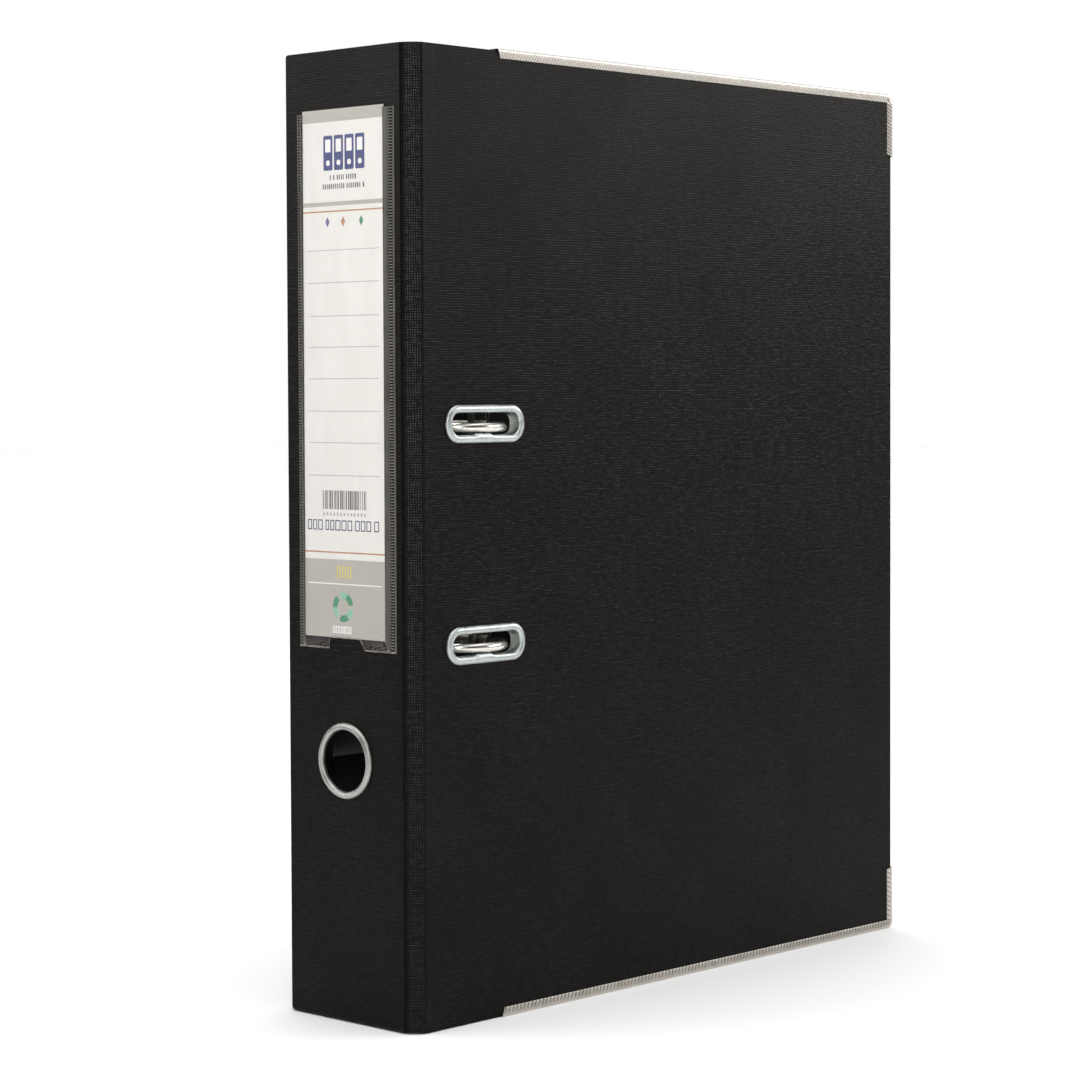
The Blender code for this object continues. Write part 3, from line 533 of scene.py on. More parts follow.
def bookcloth(name, across=None, crease_shade_from=None):
    """Black linen-weave bookcloth. across turns a place into the distance along the weft, which a piece
    bent round a corner has in its UV map instead, and crease_shade_from is the distance from which
    painted shade darkens the cloth towards the hinge crease beside it."""
    shader = Shader(name, CLOTH_DARK, 0.42, specular=CLOTH_SPECULAR)
    shader.paint(tint=CLOTH_TINT)
    if across is None:
        flat = shader.uv_map("weave")
    else:
        place = shader.place()
        along = shader.node("ShaderNodeVectorMath", {0: place, 1: across}, operation="DOT_PRODUCT")
        inputs = {0: along.outputs["Value"], 1: shader.split(place)[2]}
        flat = shader.node("ShaderNodeCombineXYZ", inputs).outputs[0]
    height = weave(shader, flat)
    patches = shader.spread(shader.noise(flat, 24.0, 3.0), 0.3, 0.7, 0.72, 1.2)
    tone = shader.times(height, patches)
    # Painted shade: the cloth darkens to 0.7 of its tone towards the hinge crease
    if crease_shade_from is not None:
        reach = shader.calc("ABSOLUTE", shader.split(flat)[0])
        pressed = shader.spread(reach, crease_shade_from, crease_shade_from + CREASE_SHADE_WIDTH, 1.0, 0.7)
        tone = shader.times(tone, pressed)
    shader.paint(
        colour=shader.blend(tone, CLOTH_DARK, CLOTH_LIGHT),
        roughness=shader.spread(tone, 0.0, 1.0, 0.46, 0.32),
    )
    shader.bump(height, 0.00010, 0.9)
    return shader.material


def weave(shader, flat):
    """Relief of the weave: thick weft threads that come and go, fainter warp ones, fine grain."""
    u, v, _ = shader.split(flat)
    wander = shader.times(shader.noise(flat, 40.0), 1.2 * ROW_PITCH)
    weft = shader.times(thread(shader, v, wander), slubs(shader, flat, SLUB_LENGTH, ROW_PITCH))
    warp = shader.times(thread(shader, u, wander), slubs(shader, flat, ROW_PITCH, SLUB_LENGTH))
    close = shader.times(shader.noise(flat, 120.0), THREAD_PITCH)
    grain = shader.calc("MAXIMUM", *(wave(shader, axis, close, THREAD_PITCH) for axis in (u, v)))
    ground = shader.spread(grain, 0.0, 1.0, 0.02, 0.20)
    rows = shader.calc("MAXIMUM", weft, shader.times(warp, WARP_SHARE))
    return shader.calc("MAXIMUM", ground, rows)


def thread(shader, distance, wander):
    """Thick threads, thinner than the gaps between them."""
    return shader.spread(wave(shader, distance, wander, ROW_PITCH), 0.30, 1.0)


def slubs(shader, flat, length, width):
    """Where the thick threads show: broken dashes of a length along u and a width along v."""
    dashes = shader.noise(shader.stretch(flat, (1.0 / length, 1.0 / width, 1.0)), 0.9, 2.0, 0.6)
    return shader.spread(dashes, 0.34, 0.70, 0.14, 0.92)


def wave(shader, distance, wander, pitch):
    """Height of threads at a pitch, each a little off its place."""
    phase = shader.times(shader.calc("ADD", distance, wander), 2 * math.pi / pitch)
    return shader.spread(shader.calc("SINE", phase), -1.0, 1.0)


def band_cloth(name):
    """Bookcloth where the hinge's fold has opened the weave into rows of dots, painted bright in its
    colour as a highlight where the chamfer faces the light. Its UV map is the distance round the file, as
    on the cover, and the height."""
    shader = Shader(name, CLOTH_DARK, 0.40, specular=CLOTH_SPECULAR)
    flat = shader.uv_map("weave")
    u, v, _ = shader.split(flat)
    wander = shader.times(shader.noise(flat, 200.0, 3.0), BAND_PITCH * 1.3)
    grid = shader.times(*(wave(shader, axis, wander, BAND_PITCH) for axis in (u, v)))
    dots = shader.spread(grid, 0.22, 0.80)
    uneven = shader.spread(shader.noise(flat, 420.0, 3.0, 0.75), 0.38, 0.60, 0.05, 1.3)
    # Painted shade: the dots' painted highlight fades towards the bottom, away from the light overhead
    lower = shader.spread(v, 0.05, 0.30, 0.40, 1.0)
    low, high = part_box("front_cloth")
    edge = high.x + low.y
    # Painted shade in the hinge's crease: no dots there, and darker threads
    crease = shader.spread(u, edge - 0.0064, edge - 0.0054)
    fading = shader.spread(u, edge - 0.0022, edge - 0.0002, 1.0, 0.8)
    threads = shader.times(weave(shader, flat), shader.spread(crease, 0.0, 1.0, 0.20, 0.24))
    tone = shader.calc("MAXIMUM", shader.times(dots, uneven, lower, crease, fading), threads)
    shader.paint(
        colour=shader.blend(tone, CLOTH_DARK, BAND_DOTS_AND_GLINT),
        roughness=shader.spread(tone, 0.0, 1.0, 0.52, 0.34),
    )
    shader.bump(tone, 0.0002, 0.8)
    return shader.material


def metal(name, colour, roughness, mottle=0.06, grain=0.00001, groove_shaded=False):
    """Bare or plated metal with uneven polish, faint stains and fine handling marks. With groove_shaded,
    painted shade darkens the hollows between its ribs."""
    shader = Shader(name, colour, roughness, metallic=1.0)
    place = shader.place()
    cloudy = shader.noise(place, 260.0, 4.0, 0.6)
    fine = shader.noise(place, 2600.0)
    polish = shader.calc("ADD", cloudy, shader.times(fine, 0.35))
    tone = shader.blend(shader.spread(cloudy, 0.35, 0.68), scaled(colour, 1 - 2.2 * mottle), colour)
    # Painted shade between the ribs of an edge strip
    if groove_shaded:
        tone = shader.blend(groove_shade_mask(shader), tone, GROOVE_SHADE_COLOUR)
    polish = shader.spread(polish, 0.4, 0.95, max(roughness - mottle, 0.03), roughness + mottle * 1.6)
    shader.paint(colour=tone, roughness=polish)
    shader.bump(fine, grain, 0.6)
    return shader.material


def groove_shade_mask(shader):
    """How deep in a groove a point of an edge strip is, from its UV map of rib number and rib strength,
    as the mask of the painted shade between its ribs."""
    number, strength, _ = shader.split(shader.uv_map("ribs"))
    height = shader.calc("COSINE", shader.times(number, 2 * math.pi))
    return shader.times(shader.spread(height, -0.15, -0.95), shader.spread(strength, 0.35, 0.9))


def paper(name, light, dark, roughness, fibre=900.0):
    """Uncoated paper or board with visible fibre."""
    shader = Shader(name, light, roughness, specular=0.3)
    place = shader.place()
    fibres = shader.noise(shader.stretch(place, (1.0, 1.0, 0.45)), fibre, 3.0, 0.65)
    clouds = shader.spread(shader.noise(place, 45.0), 0.3, 0.7, 0.7, 1.0)
    tone = shader.times(shader.spread(fibres, 0.3, 0.7), clouds)
    shader.paint(
        colour=shader.blend(tone, dark, light),
        roughness=shader.spread(fibres, 0.0, 1.0, roughness, 0.95),
    )
    shader.bump(fibres, 0.00005, 0.5)
    return shader.material


def clear_film(name):
    """Clear plastic film, slightly hazy and scuffed."""
    shader = Shader(name, (0.55, 0.51, 0.47), 0.20, specular=0.6)
    place = shader.place()
    haze = shader.noise(shader.stretch(place, (1.0, 1.0, 0.25)), 160.0, 3.0)
    scuffs = shader.noise(shader.stretch(place, (1.0, 1.0, 0.08)), 1500.0)
    shader.paint(
        alpha=shader.spread(haze, 0.3, 0.7, 0.03, 0.055),
        roughness=shader.spread(scuffs, 0.3, 0.7, 0.14, 0.34),
    )
    shader.bump(haze, 0.0001, 0.2)
    return shader.material


def film_weld(name, haze, colour=(0.50, 0.46, 0.42), specular=0.4):
    """The film where it is welded down: hazier than over the card, and dark where it is pressed
    onto the black cloth, whose colour it then takes."""
    shader = Shader(name, colour, 0.28, specular=specular)
    streaks = shader.noise(shader.stretch(shader.place(), (1.0, 1.0, 0.15)), 420.0)
    streaks = shader.spread(streaks, 0.3, 0.7)
    shader.paint(
        alpha=shader.spread(streaks, 0.0, 1.0, haze * 0.8, haze * 1.2),
        colour=shader.blend(streaks, scaled(colour, 0.65), colour),
        roughness=shader.spread(streaks, 0.0, 1.0, 0.22, 0.38),
    )
    return shader.material


def plastic(name, colour):
    """Moulded plastic with a fine spark-eroded grain."""
    shader = Shader(name, colour, 0.42, specular=0.45)
    grain = shader.noise(shader.place(), 3200.0)
    shader.paint(
        colour=shader.blend(grain, scaled(colour, 0.7), colour),
        roughness=shader.spread(grain, 0.3, 0.7, 0.36, 0.52),
    )
    shader.bump(grain, 0.00004, 0.5)
    return shader.material


def ink(name, colour):
    """Printing ink on the card, a little uneven in its cover."""
    shader = Shader(name, colour, 0.5, specular=0.35)
    cover = shader.spread(shader.noise(shader.place(), 1800.0), 0.3, 0.8)
    paler = tuple(0.95 * part + 0.05 for part in colour)
    shader.paint(colour=shader.blend(cover, colour, paler))
    return shader.material


CLOTH_FRONT = bookcloth("bookcloth_front", (1.0, 1.0, 0.0))
CLOTH_BACK = bookcloth("bookcloth_back", (-1.0, 1.0, 0.0))
# The spine's cloth gets painted shade towards its hinge creases
CLOTH_SPINE = bookcloth("bookcloth_spine", (1.0, 0.0, 0.0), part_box("spine_cloth")[1].x - CREASE_SHADE_WIDTH)
CLOTH_WRAP = bookcloth("bookcloth_wrap")
CLOTH_BAND = band_cloth("bookcloth_band")
NICKEL = metal("nickel", (0.84, 0.81, 0.75), 0.22)
POST_NICKEL = metal("post_nickel", (0.86, 0.82, 0.75), 0.42)
PLATED_STEEL = metal("plated_steel", (0.76, 0.75, 0.72), 0.30, mottle=0.035)
ZINC = metal("zinc", (0.58, 0.62, 0.605), 0.38, mottle=0.11, grain=0.00002)
# Both strip metals get painted shade between their ribs
STRIP_METAL = metal("strip_metal", (0.67, 0.63, 0.57), 0.38, mottle=0.05, groove_shaded=True)
# Darker copy of the strip metal, as painted shade on the top strips' fore-edge returns
STRIP_SHADED_RETURN = metal("strip_metal_shaded_return", (0.34, 0.325, 0.295), 0.50, mottle=0.08, groove_shaded=True)
EYELET = metal("eyelet", (0.46, 0.47, 0.44), 0.40, mottle=0.09, grain=0.00002)
# Near-black painted shade for the eyelet's barrel inside the spine, where the hole is dark
EYELET_BARREL_SHADE = metal("eyelet_barrel_shade", (0.012, 0.012, 0.012), 0.6)
GREYBOARD = paper("greyboard", (0.36, 0.34, 0.30), (0.20, 0.19, 0.17), 0.9, fibre=1400.0)
LINING_PAPER = paper("lining_paper", (0.030, 0.030, 0.032), (0.016, 0.016, 0.017), 0.7)
CARD_STOCK = paper("card_stock", (0.81, 0.79, 0.755), (0.78, 0.76, 0.725), 0.55)
FILM_CLEAR = clear_film("clear_film")
FILM_MARGIN = film_weld("film_margin", 1.25, (0.095, 0.088, 0.079))
FILM_HEM = film_weld("film_hem", 0.30)
FILM_RUNG = film_weld("film_rung", 1.25, (0.135, 0.126, 0.113))
FILM_PRESSED = film_weld("film_pressed", 1.25, (0.008, 0.008, 0.008), 0.1)
BLACK_PLASTIC = plastic("black_plastic", (0.022, 0.022, 0.023))
INK_COLOURS = {
    "grey": (0.43, 0.405, 0.365),
    "pale_grey": (0.42, 0.42, 0.41),
    "charcoal": (0.06, 0.06, 0.065),
    "navy": (0.035, 0.045, 0.13),
    "blue": (0.014, 0.032, 0.17),
    "orange": (0.47, 0.21, 0.10),
    "violet": (0.13, 0.10, 0.25),
    "green": (0.03, 0.24, 0.11),
    "pale_green": (0.22, 0.50, 0.34),
    "yellow": (0.66, 0.58, 0.10),
    "white": (0.84, 0.83, 0.81),
}
INKS = {name: ink("ink_" + name, colour) for name, colour in INK_COLOURS.items()}


# ---- camera, floor and lights


def place_camera():
    """Camera at the viewing angle."""
    data = bpy.data.cameras.new("camera")
    data.sensor_width = 36.0
    data.lens = CAMERA_LENS
    data.shift_y = CAMERA_SHIFT
    data.clip_start = 0.01
    viewer = add_object("camera", data)
    yaw, pitch, roll = (math.radians(angle) for angle in (CAMERA_YAW, CAMERA_PITCH, CAMERA_ROLL))
    turn = Matrix.Rotation(-yaw, 4, "Z") @ Matrix.Rotation(math.pi / 2 + pitch, 4, "X")
    turn = turn @ Matrix.Rotation(roll, 4, "Z")
    viewer.matrix_world = Matrix.Translation(CAMERA_PLACE) @ turn
    bpy.context.scene.camera = viewer


def lay_floor():
    """Pale floor, out of the object's own pieces."""
    half = FLOOR_SIZE / 2
    outline = [(-half, -half, 0.0), (half, -half, 0.0), (half, half, 0.0), (-half, half, 0.0)]
    shader = Shader("floor", (0.92, 0.92, 0.92), 0.7, specular=0.0)
    shader.paint(roughness=shader.spread(shader.noise(shader.place(), 30.0), 0.0, 1.0, 0.6, 0.8))
    floor = piece_from("floor", outline, [(0, 1, 2, 3)], [shader.material])


def hang_softboxes():
    """Rectangular studio lights, which the camera doesn't see."""
    for name, (place, aim, width, height, spread, power) in SOFTBOXES.items():
        light = bpy.data.lights.new("softbox_" + name, "AREA")
        light.shape = "RECTANGLE"
        light.size = width
        light.size_y = height
        light.spread = math.radians(spread)
        light.energy = power
        lamp = add_object("softbox_" + name, light)
        turn = (Vector(aim) - Vector(place)).to_track_quat("-Z", "Y")
        lamp.matrix_world = Matrix.Translation(place) @ turn.to_matrix().to_4x4()
        lamp.visible_camera = False


def surroundings():
    """Studio surroundings: white to the camera, and brightest overhead as a light."""
    world = bpy.data.worlds.new("studio")
    world.use_nodes = True
    nodes = Nodes(world.node_tree)
    backdrop = world.node_tree.nodes["Background"]
    backdrop.inputs["Color"].default_value = (1.0, 1.0, 1.0, 1.0)
    up = nodes.split(nodes.node("ShaderNodeTexCoord").outputs["Generated"])[2]
    glow = nodes.spread(nodes.calc("POWER", up, SKY_FALLOFF), 0.0, 1.0, SKY_HORIZON, SKY_ZENITH)
    seen = nodes.node("ShaderNodeLightPath").outputs["Is Camera Ray"]
    nodes.feed(backdrop.inputs["Strength"], nodes.spread(seen, 0.0, 1.0, glow, 1.0))
    bpy.context.scene.world = world
    bpy.context.scene.view_settings.view_transform = "Standard"


# ---- covered boards


def dress_panels():
    """Cloth and board materials on the three panels' CAD nodes."""
    for name, cloth in (("front", CLOTH_FRONT), ("back", CLOTH_BACK), ("spine", CLOTH_SPINE)):
        for layer, material in (("cloth", cloth), ("board", GREYBOARD)):
            materials = NODES[name + "_" + layer].data.materials
            materials.clear()
            materials.append(material)


def lining_sheet(name, inward, holes):
    """Lining paper that overlaps the turned-in cloth all round, with its holes."""
    node = name + "_lining"
    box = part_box(node)
    axis = 1 if name == "spine" else 0
    inner = box[1 if inward > 0 else 0][axis]
    low = [value - LINING_OVERLAP for value in box[0]]
    high = [value + LINING_OVERLAP for value in box[1]]
    low[axis] = min(inner, inner + inward * LINING_SHEET)
    high[axis] = max(inner, inner + inward * LINING_SHEET)
    piece = block(node + "_sheet", low, high, LINING_PAPER)
    cut(piece, holes)
    soften(piece, 0.00004)
    return seat(piece, body_of_node(node), "lining_paper", node)


def hole(node, outline, through):
    """Solid that cuts an outline through the lining round a CAD node, along x or y."""
    middle = box_of(node)[2]
    rows = []
    for reach in (-HOLE_REACH, HOLE_REACH):
        places = [(reach, u, v) if through == "x" else (u, reach, v) for u, v in outline]
        rows.append([middle + Vector(place) for place in places])
    return swept("hole", rows, [LINING_PAPER])


def linings():
    """Lining sheets of the three panels."""
    slot = rounded_outline(MOUTH[0] / 2 + SLOT_MARGIN, MOUTH[1] / 2 + SLOT_MARGIN, MOUTH_CORNER)
    lining_sheet("front", -1, [hole("slot_backing_" + level, slot, "x") for level in LEVELS])
    rivet = rounded_outline(RIVET_HOLE, RIVET_HOLE, RIVET_HOLE * 0.96)
    lining_sheet("back", 1, [hole(node, rivet, "x") for node in RIVETS])
    finger = arc((0.0, 0.0), FINGER_HOLE, 0, 360, 48)[:-1]
    lining_sheet("spine", 1, [hole("finger_ring", finger, "y")])


# ---- hinges


def offset_path(path, distance):
    """Path moved to its left by a distance."""
    moved = []
    for index, (x, y) in enumerate(path):
        before = path[max(index - 1, 0)]
        after = path[min(index + 1, len(path) - 1)]
        across = Vector((before[1] - after[1], after[0] - before[0])).normalized()
        moved.append((x + across.x * distance, y + across.y * distance))
    return moved


def band_rows(outer, inner, z_low, z_high, rounding):
    """Closed loops of a strip of cloth, with its outer face rolled in at the top and bottom."""
    lower = [(z_low + rounding + u, rounding + v) for u, v in arc((0.0, 0.0), rounding, 180, 270, 5)]
    middle = [(z, 0.0) for z in evenly(z_low, z_high, 40)[1:-1]]
    upper = [(z_low + z_high - z, roll) for z, roll in reversed(lower)]
    rows = []
    for z, roll in lower + middle + upper:
        path = offset_path(outer, roll) + inner[::-1]
        rows.append([(x, y, z) for x, y in path])
    return rows


def weave_places(rows, path, start):
    """Distance round the file and height of each point of a band, whose outer face starts there."""
    distances = [start]
    for before, after in zip(path, path[1:]):
        distances.append(distances[-1] + math.dist(before, after))
    return [(distance, row[0][2]) for row in rows for distance in distances + distances[::-1]]


def band_guide(spine_x, face_y, face_x, board_y):
    """Outer face of the band from the spine, down into the crease and onto the cover."""
    chamfer = face_x - spine_x

    def on_chamfer(part, proud):
        """Point part of the way along the corner's chamfer and proud of it."""
        diagonal = proud / math.sqrt(2)
        return (spine_x + chamfer * part + diagonal, face_y + chamfer * part - diagonal)

    return [
        (spine_x - 0.0010, face_y + 0.0006),
        (spine_x - 0.0001, face_y + 0.00055),
        on_chamfer(0.10, -CREASE_DEPTH),
        on_chamfer(0.24, 0.00005),
        on_chamfer(0.55, 0.00030),
        on_chamfer(0.86, 0.00022),
        (face_x + BAND_PROUD, board_y + 0.0006),
        (face_x + BAND_PROUD, board_y + 0.0022),
        (face_x + 0.00001, board_y + BAND_OVERLAP),
    ]


def lining_guide(spine_x, inner_y, inner_x, board_y):
    """Inner face of the hinge's lining from the spine's lining to the cover's."""
    return [
        (spine_x - 0.0030, inner_y + 0.00016),
        (spine_x - 0.0008, inner_y + 0.00016),
        (spine_x + 0.0004, inner_y - 0.0001),
        (spine_x + 0.0016, inner_y - 0.0003),
        (inner_x + 0.0004, board_y - 0.0014),
        (inner_x + 0.0002, board_y - 0.0005),
        (inner_x - 0.00016, board_y + 0.0008),
        (inner_x - 0.00016, board_y + 0.0030),
    ]


def hinge(cover, side):
    """Band of cloth round one hinge and the strip that lines it."""
    spine_low, spine_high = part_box("spine_cloth")
    cover_low, cover_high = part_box(cover + "_cloth")
    spine_x, face_y = spine_high.x, spine_low.y
    face_x = cover_high.x if side > 0 else -cover_low.x
    panel = cover_high.x - cover_low.x
    corner = (spine_x, face_y, face_x, cover_low.y)
    z_low, z_high = cover_low.z, cover_high.z

    outer = spline(band_guide(*corner), 6)
    inner = offset_path(outer, BAND_CLOTH)
    rows = band_rows(outer, inner, z_low, z_high, CLOTH_ROUNDING)
    rows = [[(side * x, y, z) for x, y, z in row] for row in rows]
    band = swept(cover + "_hinge_band", rows, [CLOTH_BAND, CLOTH_WRAP], smooth_angle=60.0)
    ahead = sum(math.dist(before, after) for before, after in zip(outer, outer[1:]))
    map_points(band, "weave", weave_places(rows, outer, face_x + cover_low.y + BAND_OVERLAP - ahead))
    repaint(band, 1, lambda place: place.y > cover_low.y)

    near = spline(lining_guide(spine_x, face_y + panel, face_x - panel, cover_low.y), 5)
    far = offset_path(near, -LINING_CLOTH)
    stations = evenly(z_low, z_high, 24)
    stations[0] += LINING_SHORT
    stations[-1] -= LINING_SHORT
    rows = [[(side * x, y, z) for x, y in near + far[::-1]] for z in stations]
    lining = swept(cover + "_hinge_lining", rows, [LINING_PAPER], smooth_angle=60.0)

    for piece, slot in ((band, "bookcloth"), (lining, "lining_paper")):
        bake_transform(piece)
    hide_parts(cover + "_hinge_cloth")


# ---- metal edge strips


def strip_section(width):
    """Cross-section of the channel as (across, depth, how much the ribs show)."""
    half = width / 2
    radius = STRIP_ROUNDING
    outer = []
    for part, rib in ((1.0, 0.6), (0.85, 1.0), (0.6, 1.0), (0.35, 0.8), (0.15, 0.35)):
        depth = radius + (STRIP_LEG - radius) * part
        outer.append((half - STRIP_LEAN * (depth / STRIP_LEG) ** 2, depth, rib))
    for across, depth in arc((half - radius, radius), radius, 0, -90, 4):
        outer.append((across, depth, 0.35))
    mirrored = [(-across, depth, rib) for across, depth, rib in reversed(outer)]
    inner_half = half - STRIP_WALL
    inner = [(-inner_half, STRIP_LEG * 0.4, 0.0), (-inner_half, STRIP_WALL, 0.0)]
    inner += [(-across, depth, rib) for across, depth, rib in reversed(inner)]
    inner = [(STRIP_LIP - half, STRIP_LEG, 0.0)] + inner + [(half - STRIP_LIP, STRIP_LEG, 0.0)]
    return outer + [(0.0, 0.0, 0.35)] + mirrored + inner


def edge_strip(cover, edge):
    """Ribbed metal channel over a cover's edge, bent round its fore-edge corner."""
    node = cover + "_" + edge + "_edge_strip"
    low, high, middle = box_of(node)
    side = 1 if cover == "front" else -1
    up = 1 if edge == "bottom" else -1
    outside = low.z if edge == "bottom" else high.z
    straight = high.y - STRIP_CORNER - low.y
    turn = math.pi / 2 * STRIP_CORNER
    length = straight + turn + (high.z - low.z) - STRIP_CORNER

    def station(s, depth):
        """Place (y, z) of a point at a distance along the outer edge and a depth inside it."""
        if s <= straight:
            return low.y + s, outside + up * depth
        if s <= straight + turn:
            angle = (s - straight) / STRIP_CORNER
            reach = STRIP_CORNER - min(depth, STRIP_CORNER * 0.96)
            y = high.y - STRIP_CORNER + reach * math.sin(angle)
            return y, outside + up * (STRIP_CORNER - reach * math.cos(angle))
        return high.y - depth, outside + up * (STRIP_CORNER + s - straight - turn)

    section = strip_section(high.x - low.x)
    pitch = RIB_PITCH[edge]
    count = round(length / pitch * ROWS_PER_RIB)
    rows = []
    ribs = []
    for step in range(count + 1):
        row = []
        for across, depth, rib in section:
            first = STRIP_END + depth * 0.5
            last = length - depth / 3
            s = first + (last - first) * step / count
            number = (s + RIB_SLANT[edge] * depth) / pitch
            ribs.append((number, rib))
            groove = RIB_DEPTH[edge] * rib * ripple(number)
            y, z = station(s, depth + (groove if across == 0 else 0.0))
            shift = math.copysign(groove, across) if across else 0.0
            row.append((middle.x + side * (across - shift), y, z))
        rows.append(row)
    strip = swept(node + "_ribbed", rows, [STRIP_METAL, STRIP_SHADED_RETURN], smooth_angle=75.0)
    # Painted shade: the top strip's fore-edge return takes the darker copy of the metal
    if edge == "top":
        repaint(strip, 1, lambda place: place.z < outside - STRIP_LEG - STRIP_WALL)
    map_points(strip, "ribs", ribs)
    return seat(strip, body_of_node(node), "strip_metal", node)


# ---- slots


def mouth_outline():
    """Slot's mouth as (u, v, outward direction, how much the lock bump lifts it)."""
    half_height = MOUTH[1] / 2
    across = MOUTH[0] / 2 - MOUTH_CORNER
    points = []
    for x, y, start in corners(across, half_height - MOUTH_CORNER):
        for u, v in arc((0.0, 0.0), 1.0, start, start + 90, 12):
            points.append((x + MOUTH_CORNER * u, y + MOUTH_CORNER * v, (u, v), 0.0))
        if start == 180:
            for u in evenly(-across, across, 60)[1:-1]:
                lift = ease((u - BUMP_SPAN[0]) / BUMP_SLOPE) * ease((BUMP_SPAN[1] - u) / BUMP_SLOPE)
                points.append((u, -half_height, (0.0, -1.0), lift))
    return points


def slot_liner(level):
    """Liner with a domed rim, a barrel through the cover and a lock bump under the ring."""
    node = "slot_liner_" + level
    low, high, centre = box_of(node)
    cover_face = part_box("front_cloth")[1].x
    depth = cover_face - low.x
    proud = high.x - cover_face
    # (outwards from the mouth, height over the cover's face, how far the lock bump shows)
    section = [
        (LINER_RIM, 0.00004, 0.0),
        (LINER_RIM, proud * 0.30, 0.0),
        (LINER_RIM - 0.00025, proud * 0.66, 0.0),
        (LINER_RIM - 0.0008, proud * 0.90, 0.0),
        (LINER_RIM - 0.0014, proud, 0.0),
        (0.0011, proud, 0.35),
        (0.0006, proud * 0.92, 0.8),
        (0.00025, proud * 0.68, 1.0),
        (0.00004, proud * 0.30, 1.0),
        (0.0, -0.0003, 1.0),
        (0.0, -0.0016, 0.8),
        (0.0, -0.0026, 0.0),
        (0.0, -depth, 0.0),
        (LINER_WALL, -depth, 0.0),
        (LINER_WALL, -0.0026, 0.0),
        (LINER_WALL, 0.00004, 0.0),
    ]
    rows = []
    for u, v, direction, lift in mouth_outline():
        row = []
        for out, height, share in section:
            y = centre.y + u + direction[0] * out
            z = centre.z + v + direction[1] * out + LOCK_BUMP * lift * share
            row.append((cover_face + height, y, z))
        rows.append(row)
    liner = swept(node + "_rim", rows, [ZINC], closed_path=True, smooth_angle=50.0)
    return seat(liner, "front_cover", "zinc", node)


# ---- rings, posts and rivets


def bend(corner, before, after, radius, steps=8):
    """Points of a round bend at a corner, from the direction before to the direction after."""
    points = []
    for forth, back in arc((radius, radius), -radius, 0, 90, steps):
        points.append(Vector(corner) - back * Vector(before) + forth * Vector(after))
    return points


def arch_wire():
    """Both rings with their legs, axle and crank as one round wire."""
    low, high, middle = box_of("arch_wire")
    ring_radius = (high.y - low.y) / 2 - WIRE_RADIUS
    ring_x = high.x - WIRE_RADIUS - ring_radius
    axle_x = low.x + WIRE_RADIUS
    reach = (high.z - low.z) / 2 - WIRE_RADIUS
    leg_y = middle.y - ring_radius
    down, across, back = (-1, 0, 0), (0, 0, -1), (0, 1, 0)
    half = [Vector((ring_x - 0.0001, middle.y + ring_radius, reach))]
    half += [Vector((ring_x + u, middle.y + v, reach)) for v, u in arc((0, 0), ring_radius, 0, 180, 56)]
    half += bend((axle_x, leg_y, reach), down, across, BEND_RADIUS)
    half += bend((axle_x, leg_y, CRANK_HALF_WIDTH), across, back, BEND_RADIUS * 0.7)
    half += bend((axle_x, leg_y + CRANK_LENGTH, CRANK_HALF_WIDTH), back, across, BEND_RADIUS * 0.7)
    route = half + [Vector((point.x, point.y, -point.z)) for point in reversed(half)]
    route = [point + Vector((0, 0, middle.z)) for point in route]
    radii = [WIRE_RADIUS] * len(route)
    radii[0] = radii[-1] = WIRE_RADIUS * 0.86
    wire = tube("arch_wire_round", route, radii, NICKEL)
    return seat(wire, "arch", "nickel", "arch_wire")


def posts():
    """Fixed posts, flared at the foot, with a chamfered seat for the ring's end."""
    for level in LEVELS:
        low, high, centre = box_of("post_" + level)
        length = high.x - low.x
        foot = (high.y - low.y) / 2
        radius = foot * 0.55
        profile = [
            (0.0, length),
            (radius * 0.72, length),
            (radius * 0.92, length - 0.0003),
            (radius, length - 0.0009),
            (radius, 0.0016),
            (radius * 1.12, 0.0011),
            (foot * 0.86, 0.0008),
            (foot * 0.97, 0.0005),
            (foot, 0.0),
            (0.0, 0.0),
        ]
        upright = Matrix.Translation((low.x, centre.y, centre.z)) @ Matrix.Rotation(math.pi / 2, 4, "Y")
        turned = lathe("post_%s_turned" % level, profile, upright, POST_NICKEL)
        seat(turned, "back_cover", "nickel", "post_" + level)


def rivets():
    """Domed rivets with their clenched ends."""
    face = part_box("back_cloth")[0].x
    for node in RIVETS:
        low, high, centre = box_of(node)
        head = (high.y - low.y) / 2
        dome = face - low.x
        end = face - high.x
        profile = [(0.0, dome)]
        for height, radius in arc((0.0, 0.0), 1.0, 0, 90, 10)[1:]:
            profile.append((head * radius, 0.0003 + (dome - 0.0003) * height))
        profile += [
            (head, 0.0001),
            (0.0020, 0.0001),
            (0.0020, end + 0.0009),
            (0.0034, end + 0.0009),
            (0.0035, end + 0.0006),
            (0.0030, end + 0.0001),
            (0.0022, end + 0.0003),
            (0.0016, end + 0.0007),
            (0.0, end + 0.0008),
        ]
        outward = Matrix.Translation((face, centre.y, centre.z)) @ Matrix.Rotation(-math.pi / 2, 4, "Y")
        seat(lathe(node + "_domed", profile, outward, NICKEL), "back_cover", "nickel", node)


# ---- finger ring


